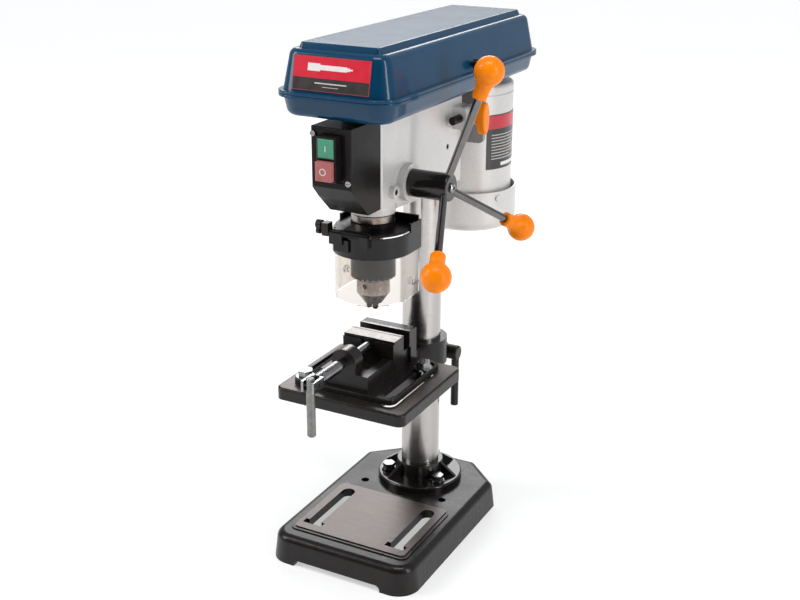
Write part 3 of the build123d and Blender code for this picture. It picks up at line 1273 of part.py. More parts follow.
def make_button(z, proud):
    front = BOX_FRONT_Y + PLATE_RECESS - MODULE_PROUD - proud
    button = box(-BUTTON_W / 2, BUTTON_W / 2, front, BUTTON_BACK_Y, z - BUTTON_H / 2, z + BUTTON_H / 2)
    return fillet(button.faces().sort_by(Axis.Y)[0].edges(), 1.2)


def make_switch_screws():
    screws = []
    for x, z in box_screw_places():
        screw = rod_y(3, BOX_FRONT_Y - 1.6, BOX_FRONT_Y, x, z)
        screw += rod_y(BOX_SCREW_R - SEAT, BOX_FRONT_Y - 1, BOX_FRONT_Y + 9, x, z)
        screws.append(screw - box(x - 2.2, x + 2.2, BOX_FRONT_Y - 2, BOX_FRONT_Y - 0.9, z - 0.4, z + 0.4))
    return screws


# ---------- motor and its slide ----------

def make_motor_can():
    can = rod_z(CAN_R, CAN_BOTTOM_Z, CAN_TOP_Z, 0, MOTOR_Y)
    can = fillet(can.edges().sort_by(Axis.Z)[-1], 5)
    groove = tube_z(CAN_R + 1, CAN_R - 0.8, CAN_SEAM_Z - 0.8, CAN_SEAM_Z + 0.8, 0, MOTOR_Y)
    can -= groove
    can -= rod_z(CAN_R - CAN_WALL, CAN_BOTTOM_Z + CAN_WALL, CAN_TOP_Z - CAN_WALL - 6, 0, MOTOR_Y)
    for z0, z1 in ((CAN_BOTTOM_Z - 1, CAN_BOTTOM_Z + 5), (CAN_TOP_Z - 12, CAN_TOP_Z + 1)):
        can -= rod_z(MOTOR_SHAFT_R + AIR, z0, z1, 0, MOTOR_Y)
    for index in range(8):
        vent = rod_z(3.5, CAN_BOTTOM_Z - 1, CAN_BOTTOM_Z + 5, 32, 0)
        can -= Pos(0, MOTOR_Y, 0) * Rot(0, 0, 45 * index) * vent
    return can


def make_motor_cup():
    cup = rod_z(CUP_R, CUP_BOTTOM_Z, CUP_TOP_Z, 0, MOTOR_Y)
    cup = fillet(cup.edges().sort_by(Axis.Z)[0], CUP_EDGE_R)
    inner = rod_z(CUP_R - CUP_WALL, CUP_BOTTOM_Z + CUP_WALL, CUP_TOP_Z + 5, 0, MOTOR_Y)
    cup -= fillet(inner.edges().sort_by(Axis.Z)[0], CUP_EDGE_R - CUP_WALL)
    for angle in cup_screw_angles():
        lug = box(CAN_R, CUP_R - 1, -4, 4, CUP_SCREW_Z - 5, CUP_SCREW_Z + 5)
        cup += Pos(0, MOTOR_Y, 0) * Rot(0, 0, angle) * lug
        hole = rod_x(2 + SEAT, CAN_R - 4, CUP_R + 2, 0, CUP_SCREW_Z)
        cup -= Pos(0, MOTOR_Y, 0) * Rot(0, 0, angle) * hole
    for x in (-30, -15, 0, 15, 30):
        cup -= slot_y(6, MOTOR_Y - 30, MOTOR_Y + 30, CUP_BOTTOM_Z - 1, CUP_BOTTOM_Z + 5, x)
    return cup - rod_z(CAN_R, CAN_BOTTOM_Z, CUP_TOP_Z + 1, 0, MOTOR_Y)


CUP_SCREW_Z = 376.0


def cup_screw_angles():
    return (-27.0, 93.0, 213.0)


def make_cup_screws():
    screws = []
    for angle in cup_screw_angles():
        screw = rod_x(2, CAN_R - 2, CUP_R + 1, 0, CUP_SCREW_Z) + rod_x(4, CUP_R, CUP_R + 2, 0, CUP_SCREW_Z)
        screws.append(Pos(0, MOTOR_Y, 0) * Rot(0, 0, angle) * screw)
    return screws


def can_screw_holes():
    cuts = None
    for angle in cup_screw_angles():
        hole = rod_x(2 + SEAT, CAN_R - CAN_WALL - 1, CAN_R + 1, 0, CUP_SCREW_Z)
        hole = Pos(0, MOTOR_Y, 0) * Rot(0, 0, angle) * hole
        cuts = hole if cuts is None else cuts + hole
    return cuts


STATOR_LOW_Z = 405.0


def make_motor_stator():
    z0 = STATOR_LOW_Z
    z1 = z0 + STATOR_HEIGHT
    core = tube_z(CAN_R - CAN_WALL - SEAT, STATOR_IN_R, z0, z1, 0, MOTOR_Y)
    windings = tube_z(CAN_R - CAN_WALL - 6, STATOR_IN_R + 2, z0 - 10, z1 + 10, 0, MOTOR_Y)
    return core + windings


def make_motor_bearings():
    rings = []
    for z in (CAN_BOTTOM_Z + 6, CAN_TOP_Z - CAN_WALL - 6 - BEARING_HEIGHT):
        ring = tube_z(16, MOTOR_SHAFT_R + RUN, z, z + BEARING_HEIGHT, 0, MOTOR_Y)
        spider = tube_z(CAN_R - CAN_WALL - SEAT, 16, z + 2, z + 6, 0, MOTOR_Y)
        rings.append(ring + spider)
    return rings


def make_motor_rotor():
    rotor = rod_z(MOTOR_SHAFT_R, CUP_BOTTOM_Z + 12, PULLEY_TOP_Z + 2, 0, MOTOR_Y)
    return rotor + rod_z(ROTOR_R, STATOR_LOW_Z, STATOR_LOW_Z + STATOR_HEIGHT, 0, MOTOR_Y)


def make_motor_fan():
    z0 = CUP_BOTTOM_Z + 14
    hub = tube_z(12, MOTOR_SHAFT_R + SEAT, z0, z0 + 14, 0, MOTOR_Y)
    hub += tube_z(FAN_R, MOTOR_SHAFT_R + SEAT, z0 + 12, z0 + 14, 0, MOTOR_Y)
    for index in range(9):
        blade = box(10, FAN_R, -1, 1, z0, z0 + 13)
        hub += Pos(0, MOTOR_Y, 0) * Rot(0, 0, 40 * index) * blade
    return hub


def make_motor_plate():
    y0 = MOTOR_PLATE_FRONT_Y
    y1 = y0 + MOTOR_PLATE_THICK
    high = MOTOR_PLATE_HIGH_Z
    plate = box(-MOTOR_PLATE_HALF_W, MOTOR_PLATE_HALF_W, y0, y1, MOTOR_PLATE_LOW_Z, high)
    plate = fillet(plate.edges().filter_by(Axis.Y), 6)
    for side in (-1, 1):
        plate += box(side * 30 - 4, side * 30 + 4, y1 - 1, MOTOR_Y - CAN_R + 15.5,
                     MOTOR_PLATE_LOW_Z + 6, CAN_SEAM_Z - 6)
        plate -= rod_y(SLIDE_BAR_R + SEAT, y0 - 1, y1 + 1, side * SLIDE_BAR_X, SLIDE_BAR_Z)
    return plate - rod_z(CAN_R, CAN_BOTTOM_Z, CAN_TOP_Z, 0, MOTOR_Y)


def make_slide_bars():
    bars = []
    end = MOTOR_PLATE_FRONT_Y + MOTOR_PLATE_THICK
    for side in (-1, 1):
        bar = rod_y(SLIDE_BAR_R, SLIDE_BAR_FRONT_Y, end, side * SLIDE_BAR_X, SLIDE_BAR_Z)
        bars.append(chamfer(bar.edges().sort_by(Axis.Y)[0], 0.8))
    return bars


def make_slide_lock_knob():
    tip = SLIDE_BAR_X + SLIDE_BAR_R + 0.35
    x0 = SLIDE_BOSS_HALF_W + 7
    knob = rod_x(LOCK_SCREW_R, tip, x0 + 1, LOCK_SCREW_Y, SLIDE_BAR_Z)
    knob += rod_x(8, x0, x0 + 6, LOCK_SCREW_Y, SLIDE_BAR_Z)
    wing = Pos(x0 + 4, LOCK_SCREW_Y, SLIDE_BAR_Z) * Rot(0, 90, 0)
    blade = wing * extrude(Ellipse(18, 8), 9)
    return knob + fillet(blade.edges().sort_by(Axis.X)[-1], 2)


def make_motor_label():
    band = tube_z(CAN_R + LABEL_THICK, CAN_R, MOTOR_LABEL_LOW_Z, MOTOR_LABEL_HIGH_Z)
    near = math.radians(MOTOR_LABEL_FROM)
    far = math.radians(MOTOR_LABEL_TO)
    reach = 2 * CAN_R
    middle = (near + far) / 2
    wedge = make_face(Polyline((0, 0), (reach * math.cos(near), reach * math.sin(near)),
                               (reach * math.cos(middle), reach * math.sin(middle)),
                               (reach * math.cos(far), reach * math.sin(far)), close=True))
    wedge = Pos(0, 0, MOTOR_LABEL_LOW_Z) * extrude(wedge, MOTOR_LABEL_HIGH_Z - MOTOR_LABEL_LOW_Z)
    return Pos(0, MOTOR_Y, 0) * (band & wedge)


MOTOR_LABEL_LOW_Z = 411.0
MOTOR_LABEL_HIGH_Z = 477.0
MOTOR_LABEL_FROM = -41.5
MOTOR_LABEL_TO = 33.5


# ---------- guard ----------

HOOD_IN_R = HOOD_R - HOOD_WALL
SHIELD_R = HOOD_IN_R - 0.1
CLAMP_RING_Z = RING_LOW_Z - 0.1
GUIDE_ARM_Z = GUIDE_BOSS_LOW_Z - AIR


def guard_form(half, z0, z1, back):
    """Round front about the spindle axis, with straight sides that run back."""
    front = rod_z(half, z0, z1, 0, SPINDLE_Y) & box(-half - 1, half + 1, SPINDLE_Y - half - 1,
                                                    SPINDLE_Y + 0.01, z0, z1)
    return front + box(-half, half, SPINDLE_Y, SPINDLE_Y + back, z0, z1)


def guard_wall(half, wall, z0, z1):
    hollow = guard_form(half - wall, z0 - 1, z1 + 1, GUARD_BACK + 1)
    return guard_form(half, z0, z1, GUARD_BACK) - hollow


def make_guard_hood():
    hood = guard_wall(HOOD_R, HOOD_WALL, HOOD_LOW_Z, HOOD_HIGH_Z)
    rear = guard_wall(HOOD_R, HOOD_WALL, HOOD_HIGH_Z - 1, HOOD_HIGH_Z + HOOD_REAR_RISE)
    hood += rear & box(-80, 80, SPINDLE_Y + 4, 60, HOOD_HIGH_Z - 2, HOOD_HIGH_Z + 30)
    hollow = rod_z(HOOD_IN_R, 300, 500, 0, SPINDLE_Y)
    for x0, x1 in hood_knuckles():
        hood += rod_x(GUARD_KNUCKLE_R, x0, x1, GUARD_ROD_Y, GUARD_ROD_Z)
        hood += box(x0, x1, GUARD_ROD_Y - GUARD_KNUCKLE_R, GUARD_ROD_Y + GUARD_KNUCKLE_R,
                    HOOD_HIGH_Z - 8, GUARD_ROD_Z) - hollow
        hood += box(x0, x1, GUARD_ROD_Y - GUARD_KNUCKLE_R, GUARD_ROD_Y + 14,
                    HOOD_HIGH_Z - 8, HOOD_HIGH_Z) - hollow
        hood -= rod_x(GUARD_ROD_R + RUN, x0 - 1, x1 + 1, GUARD_ROD_Y, GUARD_ROD_Z)
    pad_y = SPINDLE_Y - HOOD_R
    hood += box(-22, -4, pad_y - 2.5, pad_y + 6, HOOD_LOW_Z + 7, HOOD_HIGH_Z - 3) - hollow
    return hood


def hood_knuckles():
    return ((-26.0, -10.0 - FACE_GAP), (10.0 + FACE_GAP, 20.0))


def make_guard_shield():
    return guard_wall(SHIELD_R, SHIELD_WALL, SHIELD_LOW_Z, HOOD_LOW_Z + SHIELD_LAP)


SHIELD_SCREW_Y = SPINDLE_Y + 14.0
SHIELD_SCREW_Z = SHIELD_LOW_Z + 17.0
SHIELD_SCREW_R = 2.0


def make_shield_screws():
    screws = []
    tip = SHIELD_R - SHIELD_WALL - 1.5
    for side in (-1, 1):
        screw = across(SHIELD_SCREW_R, side * tip, side * (SHIELD_R + 6))
        screw += across(4.5, side * (SHIELD_R + 0.1), side * (SHIELD_R + 4))
        screws.append(screw)
    return screws


def across(radius, x0, x1):
    return rod_x(radius, min(x0, x1), max(x0, x1), SHIELD_SCREW_Y, SHIELD_SCREW_Z)


def shield_screw_holes():
    reach = SHIELD_R + 3
    return across(SHIELD_SCREW_R + SEAT, -reach, reach)


def make_guard_clamp():
    z1 = CLAMP_RING_Z
    z0 = z1 - CLAMP_RING_HEIGHT
    ring = rod_z(CLAMP_RING_R, z0, z1, 0, SPINDLE_Y)
    arm = box(-10, 10, GUARD_ROD_Y, SPINDLE_Y - 10, HOOD_HIGH_Z + 1, z1)
    arm += rod_x(GUARD_KNUCKLE_R, -10, 10, GUARD_ROD_Y, GUARD_ROD_Z)
    arm -= rod_x(GUARD_ROD_R + SEAT, -11, 11, GUARD_ROD_Y, GUARD_ROD_Z)
    rear = rod_z(GUIDE_BOSS_R, GUIDE_ARM_Z - GUIDE_ARM_HEIGHT, GUIDE_ARM_Z, GUIDE_X, GUIDE_Y)
    rear += guide_arm(z1)
    rear -= rod_z(GUIDE_ROD_R + SEAT, GUIDE_ARM_Z - 20, GUIDE_ARM_Z + 1, GUIDE_X, GUIDE_Y)
    clamp = ring + arm + rear + clamp_plate()
    return clamp - rod_z(QUILL_NOSE_R + SEAT, z0 - 6, z1 + 1, 0, SPINDLE_Y)


def clamp_plate():
    """Flat top of the guard, inside the hood's sides, with an upright rear edge."""
    half = HOOD_IN_R - AIR
    low = HOOD_HIGH_Z + 1
    plate = guard_form(half, low, low + CLAMP_PLATE, GUARD_BACK)
    plate -= box(-half - 1, half + 1, GUARD_ROD_Y - 20, GUARD_ROD_Y + GUARD_KNUCKLE_R + AIR, low - 1, low + 9)
    back = SPINDLE_Y + GUARD_BACK
    return plate + box(-half, half, back - CLAMP_PLATE, back, low, low + CLAMP_REAR_RISE)


def guide_arm(ring_top):
    """Arm that steps down from the clamp ring and runs back to the guide rod."""
    run = GUIDE_Y - SPINDLE_Y
    length = math.hypot(GUIDE_X, run)
    heading = math.degrees(math.atan2(run, GUIDE_X))
    low = GUIDE_ARM_Z - GUIDE_ARM_HEIGHT
    bar = box(CLAMP_RING_R - 3, length, -3, 3, low, GUIDE_ARM_Z)
    bar += box(CLAMP_RING_R - 3, CLAMP_RING_R + 4, -3, 3, low, ring_top)
    return Pos(0, SPINDLE_Y, 0) * Rot(0, 0, heading) * bar


def make_guard_rod():
    rod = rod_x(GUARD_ROD_R, GUARD_ROD_LEFT, GUARD_ROD_RIGHT, GUARD_ROD_Y, GUARD_ROD_Z)
    knob = rod_x(4, GUARD_ROD_LEFT - 4, GUARD_ROD_LEFT, GUARD_ROD_Y, GUARD_ROD_Z)
    return rod + knob


def make_guard_block():
    """Clamp block on the hinge rod's left end, with its thumb screw."""
    y = GUARD_ROD_Y
    block = box(-34, -26.5, y - 5, y + 5, GUARD_ROD_Z - 4, GUARD_ROD_Z + 10)
    block -= rod_x(GUARD_ROD_R + SEAT, -35, -25, y, GUARD_ROD_Z)
    return block


def make_guard_thumb_screw():
    y = GUARD_ROD_Y
    z = GUARD_ROD_Z + 6.5
    return rod_x(5, -42, -36, y, z) + rod_x(2, -37, -34, y, z)


def guide_rod_top():
    return GUIDE_BOSS_LOW_Z + STROKE + 12


def make_guide_rod():
    arm_low = GUIDE_ARM_Z - GUIDE_ARM_HEIGHT
    rod = rod_z(GUIDE_ROD_R, arm_low - 4, guide_rod_top(), GUIDE_X, GUIDE_Y)
    return rod + hex_z(8, arm_low - 4, arm_low, GUIDE_X, GUIDE_Y)


# ---------- every piece, one file each ----------

def all_pieces():
    lid = make_belt_lid() - lid_knob_hole()
    can = make_motor_can() - can_screw_holes()
    shield = make_guard_shield() - shield_screw_holes()
    pieces = {
        "base": make_base(),
        "column": make_column(),
        "column_flange": make_column_flange(),
        "flange_bolts": make_flange_bolts(),
        "table_bracket": make_table_bracket(),
        "table_tilt_bolt": make_tilt_bolt(),
        "table_clamp_handle": make_clamp_handle(),
        "table": make_table(),
        "vise_body": make_vise_body(),
        "vise_fixed_plate": [jaw_plate(FIXED_JAW_FACE)] + jaw_screws(FIXED_JAW_FACE, 1),
        "vise_moving_jaw": make_moving_jaw(),
        "vise_moving_plate": ([jaw_plate(MOVING_PLATE_FACE - JAW_PLATE_THICK)]
                              + jaw_screws(MOVING_PLATE_FACE, -1)),
        "vise_screw": [make_vise_screw(), make_vise_handle_pin()],
        "vise_handle": make_vise_handle(),
        "vise_bolts": make_vise_bolts(),
        "head_casting": make_head_casting(),
        "head_screws": make_head_screws() + make_switch_screws(),
        "cord_gland": make_cord_gland(),
        "feed_shaft": make_feed_shaft(),
        "feed_hub": make_feed_hub(),
        "handle_rods": make_handle_rods(),
        "handle_knobs": make_handle_knobs(),
        "spring_cap": make_spring_cap(),
        "return_spring": make_return_spring(),
        "quill": make_quill(),
        "quill_bearings": make_quill_bearings(),
        "spindle": make_spindle(),
        "chuck_body": make_chuck_body(),
        "chuck_sleeve": make_chuck_sleeve(),
        "drive_sleeve": make_drive_sleeve(),
        "drive_bearings": make_drive_bearings(),
        "spindle_pulley": make_spindle_pulley(),
        "motor_pulley": make_motor_pulley(),
        "drive_belt": make_drive_belt(),
        "belt_pan": make_belt_pan(),
        "belt_lid": lid,
        "lid_hinge_pins": make_lid_hinge_pins(),
        "lid_knob": make_lid_knob(),
        "front_label": make_front_label(),
        "switch_box": make_switch_box(),
        "switch_plate": make_switch_plate(),
        "green_button": make_button(GREEN_Z, GREEN_PROUD),
        "red_button": make_button(RED_Z, RED_PROUD),
        "motor_can": can,
        "motor_cup": [make_motor_cup()] + make_cup_screws(),
        "motor_label": make_motor_label(),
        "motor_stator": make_motor_stator(),
        "motor_bearings": make_motor_bearings(),
        "motor_rotor": [make_motor_rotor(), make_motor_fan()],
        "motor_plate": make_motor_plate(),
        "slide_bars": make_slide_bars(),
        "slide_lock_knob": make_slide_lock_knob(),
        "guard_hood": make_guard_hood(),
        "guard_shield": [shield] + make_shield_screws(),
        "guard_clamp": make_guard_clamp(),
        "guard_hinge_rod": [make_guard_rod(), make_guard_block(), make_guard_thumb_screw()],
        "guide_rod": make_guide_rod(),
    }
    for index in range(3):
        pieces[f"chuck_jaw_{index + 1}"] = make_chuck_jaw(index)
    return pieces


if __name__ == "__main__":
    os.makedirs("parts", exist_ok=True)
    for name, piece in all_pieces().items():
        solids = piece if isinstance(piece, list) else [piece]
        export_step(Compound(children=solids), f"parts/{name}.step")
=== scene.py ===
import math

import bmesh
import bpy
from mathutils import Matrix, Vector


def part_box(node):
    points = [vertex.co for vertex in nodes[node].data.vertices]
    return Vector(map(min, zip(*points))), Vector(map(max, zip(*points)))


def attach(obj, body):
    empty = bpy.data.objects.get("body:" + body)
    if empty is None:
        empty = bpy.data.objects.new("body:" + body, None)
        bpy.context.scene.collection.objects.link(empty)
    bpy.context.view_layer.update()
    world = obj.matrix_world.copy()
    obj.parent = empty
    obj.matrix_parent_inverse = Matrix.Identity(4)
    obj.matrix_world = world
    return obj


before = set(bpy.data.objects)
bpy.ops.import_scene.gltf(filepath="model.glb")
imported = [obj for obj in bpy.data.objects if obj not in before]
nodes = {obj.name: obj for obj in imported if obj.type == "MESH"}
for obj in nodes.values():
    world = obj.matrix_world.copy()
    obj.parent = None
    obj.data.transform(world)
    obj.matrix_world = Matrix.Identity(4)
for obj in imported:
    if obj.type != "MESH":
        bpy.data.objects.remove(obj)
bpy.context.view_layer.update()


# small helpers for shader trees

def addNode(tree, kind, **values):
    node = tree.nodes.new(kind)
    for name, value in values.items():
        node.inputs[name].default_value = value
    return node


def feed(tree, socket, value):
    # a number or colour is set, another node's output is linked
    if isinstance(value, bpy.types.NodeSocket):
        tree.links.new(value, socket)
    else:
        socket.default_value = value


def place(tree, stretch=(1, 1, 1), move=(0, 0, 0)):
    coords = tree.nodes.new("ShaderNodeTexCoord")
    mapping = tree.nodes.new("ShaderNodeMapping")
    mapping.inputs["Scale"].default_value = stretch
    mapping.inputs["Location"].default_value = move
    tree.links.new(coords.outputs["Object"], mapping.inputs["Vector"])
    return mapping.outputs["Vector"]


def along(tree, axis):
    split = tree.nodes.new("ShaderNodeSeparateXYZ")
    tree.links.new(place(tree), split.inputs["Vector"])
    return split.outputs[axis]


def noise(tree, size, stretch=(1, 1, 1), move=(0, 0, 0), detail=3.0, rough=0.55):
    # size is the width of one blotch in metres
    node = addNode(tree, "ShaderNodeTexNoise", Scale=1.0 / size, Detail=detail, Roughness=rough)
    tree.links.new(place(tree, stretch, move), node.inputs["Vector"])
    return node.outputs["Fac"]


def spots(tree, size):
    node = addNode(tree, "ShaderNodeTexVoronoi", Scale=1.0 / size)
    tree.links.new(place(tree), node.inputs["Vector"])
    return node.outputs["Distance"]


def span(tree, value, lowIn, highIn, lowOut, highOut):
    node = addNode(tree, "ShaderNodeMapRange", **{
        "From Min": lowIn, "From Max": highIn, "To Min": lowOut, "To Max": highOut})
    tree.links.new(value, node.inputs["Value"])
    return node.outputs["Result"]


def sums(tree, operation, first, second=0.0):
    node = tree.nodes.new("ShaderNodeMath")
    node.operation = operation
    feed(tree, node.inputs[0], first)
    feed(tree, node.inputs[1], second)
    return node.outputs[0]


def mixed(tree, share, first, second):
    node = tree.nodes.new("ShaderNodeMix")
    node.data_type = "RGBA"
    feed(tree, node.inputs[0], share)
    feed(tree, node.inputs[6], first)
    feed(tree, node.inputs[7], second)
    return node.outputs[2]


def raised(tree, height, depth, below=None):
    # depth is the height of the relief in metres
    node = addNode(tree, "ShaderNodeBump", Distance=depth, Strength=1.0)
    tree.links.new(height, node.inputs["Height"])
    if below is not None:
        tree.links.new(below, node.inputs["Normal"])
    return node.outputs["Normal"]


def edgeMask(tree, width):
    # 1 along edges that stand out, 0 on the flats
    bevel = tree.nodes.new("ShaderNodeBevel")
    bevel.samples = 4
    bevel.inputs["Radius"].default_value = width
    flat = tree.nodes.new("ShaderNodeNewGeometry")
    dot = tree.nodes.new("ShaderNodeVectorMath")
    dot.operation = "DOT_PRODUCT"
    tree.links.new(bevel.outputs["Normal"], dot.inputs[0])
    tree.links.new(flat.outputs["Normal"], dot.inputs[1])
    return span(tree, dot.outputs["Value"], 0.995, 0.90, 0.0, 1.0)


def blank(name):
    material = bpy.data.materials.new(name)
    material.use_nodes = True
    tree = material.node_tree
    return material, tree, tree.nodes["Principled BSDF"]


def rgb(colour):
    return (colour[0], colour[1], colour[2], 1.0)


def finish(name, values):
    # every finish: two shades in blotches, a roughness range, layers of relief, worn edges
    material, tree, shader = blank(name)
    shade = noise(tree, values["blotch"], values.get("stretch", (1, 1, 1)), detail=4.0)
    shade = span(tree, shade, 0.3, 0.7, 0.0, 1.0)
    colour = mixed(tree, shade, rgb(values["colour"]), rgb(values["shade"]))
    smear = noise(tree, values.get("smear", 0.03), values.get("smearStretch", (1, 1, 1)),
                  move=(3.1, 1.7, 0.4), detail=5.0, rough=0.65)
    rough = span(tree, smear, 0.3, 0.7, values["gloss"][0], values["gloss"][1])
    metal = values.get("metal", 0.0)
    normal = None
    for size, stretch, depth in values.get("relief", ()):
        normal = raised(tree, noise(tree, size, stretch, detail=2.0), depth, normal)
    # flecks: lighter specks in the base colour, the paint's flakes with their sparkle painted in as
    # glints
    if "fleckGlint" in values:
        size, share, glintColour = values["fleckGlint"]
        glint = span(tree, spots(tree, size), 0.0, 0.35, share, 0.0)
        colour = mixed(tree, glint, colour, rgb(glintColour))
    if "wear" in values:
        width, amount, bare = values["wear"]
        patchy = span(tree, noise(tree, 0.006, detail=5.0, rough=0.7), 0.45, 0.62, 0.0, amount)
        worn = sums(tree, "MULTIPLY", edgeMask(tree, width), patchy)
        colour = mixed(tree, worn, colour, rgb(bare))
        metal = sums(tree, "MAXIMUM", worn, metal)
    feed(tree, shader.inputs["Base Color"], colour)
    feed(tree, shader.inputs["Roughness"], rough)
    feed(tree, shader.inputs["Metallic"], metal)
    if normal is not None:
        tree.links.new(normal, shader.inputs["Normal"])
    shader.inputs["Coat Weight"].default_value = values.get("coat", 0.0)
    shader.inputs["Coat Roughness"].default_value = values.get("coatRough", 0.05)
    shader.inputs["IOR"].default_value = 1.5
    shader.inputs["Specular IOR Level"].default_value = values.get("shine", 0.5)
    return material


def wear(node, *materials):
    # the first material goes on every face
    mesh = nodes[node].data
    mesh.materials.clear()
    for material in materials:
        mesh.materials.append(material)
    for face in mesh.polygons:
        face.material_index = 0


def secondFinish(node, test):
    # faces that pass the test take the second of the node's materials
    mesh = nodes[node].data
    count = 0
    for face in mesh.polygons:
        if test(face.center, face.normal):
            face.material_index = 1
            count += 1
    return count


# paints
enamelValues = {
    "colour": (0.0085, 0.0068, 0.0062), "shade": (0.0125, 0.0102, 0.0094), "blotch": 0.02,
    "gloss": (0.24, 0.34), "smear": 0.04, "coat": 0.10, "coatRough": 0.14, "shine": 0.26,
    "relief": ((0.0011, (1, 1, 1), 0.00006), (0.009, (1, 1, 1), 0.00025)),
    "wear": (0.0007, 0.55, (0.20, 0.19, 0.18)),
}
glossEnamelValues = dict(enamelValues, gloss=(0.16, 0.26), coat=0.4, coatRough=0.07)
silverValues = {
    "colour": (0.70, 0.685, 0.67), "shade": (0.61, 0.595, 0.58), "blotch": 0.0016,
    "gloss": (0.32, 0.44), "smear": 0.025, "metal": 0.30, "coat": 0.2, "coatRough": 0.25,
    "fleckGlint": (0.0009, 0.35, (0.86, 0.85, 0.83)),
    "relief": ((0.0014, (1, 1, 1), 0.00007), (0.012, (1, 1, 1), 0.0002)),
}
blueValues = {
    "colour": (0.0006, 0.046, 0.108), "shade": (0.0004, 0.037, 0.090), "blotch": 0.03,
    "gloss": (0.30, 0.38), "smear": 0.05, "metal": 0.0, "coat": 0.45, "coatRough": 0.03,
    "shine": 0.12,
    "fleckGlint": (0.0006, 0.18, (0.01, 0.11, 0.20)),
    "relief": ((0.0012, (1, 1, 1), 0.0000015), (0.05, (1, 1, 1), 0.00006)),
}
greyPaintValues = dict(silverValues, colour=(0.30, 0.29, 0.285), shade=(0.24, 0.235, 0.23))
greyPaint = finish("greyPaint", greyPaintValues)
blackEnamel = finish("blackEnamel", enamelValues)
glossEnamel = finish("glossEnamel", glossEnamelValues)
silverPaint = finish("silverPaint", silverValues)
bluePaint = finish("bluePaint", blueValues)

# bare and plated metals
columnValues = {
    "colour": (0.52, 0.495, 0.48), "shade": (0.47, 0.45, 0.44), "blotch": 0.004,
    "stretch": (0.3, 0.3, 6.0), "gloss": (0.20, 0.28), "smear": 0.008,
    "smearStretch": (0.2, 0.2, 4.0), "metal": 1.0,
    "relief": ((0.0008, (0.15, 0.15, 2.5), 0.000004),),
}
groundValues = {
    "colour": (0.175, 0.155, 0.148), "shade": (0.145, 0.128, 0.122), "blotch": 0.004,
    "stretch": (0.12, 3.0, 1.0), "gloss": (0.36, 0.42), "smear": 0.004, "metal": 1.0,
    "relief": ((0.0009, (0.06, 1.6, 1.0), 0.00003), (0.004, (0.3, 1.0, 1.0), 0.00001)),
}
vicePadValues = {
    "colour": (0.26, 0.245, 0.235), "shade": (0.185, 0.175, 0.165), "blotch": 0.003,
    "stretch": (2.0, 0.2, 1.0), "gloss": (0.24, 0.36), "smear": 0.01, "metal": 1.0,
    "relief": ((0.0007, (1.6, 0.08, 1.0), 0.00003),),
}
darkSteelValues = {
    "colour": (0.030, 0.026, 0.025), "shade": (0.019, 0.0165, 0.016), "blotch": 0.003,
    "gloss": (0.30, 0.44), "smear": 0.008, "metal": 1.0,
    "relief": ((0.0007, (0.2, 0.2, 2.0), 0.00002),),
    "wear": (0.0005, 0.8, (0.5, 0.49, 0.48)),
}
bodySteelValues = {
    "colour": (0.36, 0.315, 0.29), "shade": (0.26, 0.225, 0.205), "blotch": 0.003,
    "gloss": (0.22, 0.34), "smear": 0.008, "metal": 1.0,
    "relief": ((0.0007, (0.2, 0.2, 2.0), 0.00002),),
}
zincValues = {
    "colour": (0.34, 0.35, 0.355), "shade": (0.25, 0.26, 0.265), "blotch": 0.004,
    "gloss": (0.16, 0.30), "smear": 0.004, "metal": 1.0,
    "relief": ((0.0012, (1, 1, 1), 0.00003),),
    "wear": (0.0004, 0.5, (0.42, 0.41, 0.40)),
}
dullSteelValues = {
    "colour": (0.26, 0.26, 0.25), "shade": (0.17, 0.17, 0.165), "blotch": 0.003,
    "gloss": (0.30, 0.46), "smear": 0.005, "metal": 1.0,
    "relief": ((0.0012, (1, 1, 1), 0.00006), (0.004, (1, 1, 0.2), 0.00006)),
}
chromeValues = {
    "colour": (0.20, 0.19, 0.185), "shade": (0.16, 0.15, 0.15), "blotch": 0.01,
    "gloss": (0.05, 0.10), "smear": 0.01, "metal": 1.0,
    "relief": ((0.006, (1, 1, 1), 0.00002),),
}
blackSteelValues = {
    "colour": (0.022, 0.019, 0.018), "shade": (0.034, 0.030, 0.028), "blotch": 0.004,
    "gloss": (0.28, 0.42), "smear": 0.006, "metal": 0.7,
    "relief": ((0.0010, (1, 1, 1), 0.00003),),
    "wear": (0.0005, 0.7, (0.30, 0.29, 0.28)),
}
brassValues = {
    "colour": (0.72, 0.52, 0.22), "shade": (0.58, 0.40, 0.16), "blotch": 0.004,
    "gloss": (0.18, 0.30), "smear": 0.005, "metal": 1.0,
    "relief": ((0.0006, (0.2, 0.2, 2.0), 0.00002),),
}
aluminiumValues = {
    "colour": (0.66, 0.66, 0.67), "shade": (0.54, 0.54, 0.55), "blotch": 0.003,
    "stretch": (0.3, 0.3, 3.0), "gloss": (0.30, 0.42), "smear": 0.01, "metal": 1.0,
    "relief": ((0.0008, (0.2, 0.2, 2.0), 0.00003),),
}
columnSteel = finish("columnSteel", columnValues)
groundTop = finish("groundTop", groundValues)
visePad = finish("visePad", vicePadValues)
darkSteel = finish("darkSteel", darkSteelValues)
bodySteel = finish("bodySteel", bodySteelValues)
zincPlate = finish("zincPlate", zincValues)
dullSteel = finish("dullSteel", dullSteelValues)
chromePlate = finish("chromePlate", chromeValues)
blackSteel = finish("blackSteel", blackSteelValues)
brass = finish("brass", brassValues)
aluminium = finish("aluminium", aluminiumValues)

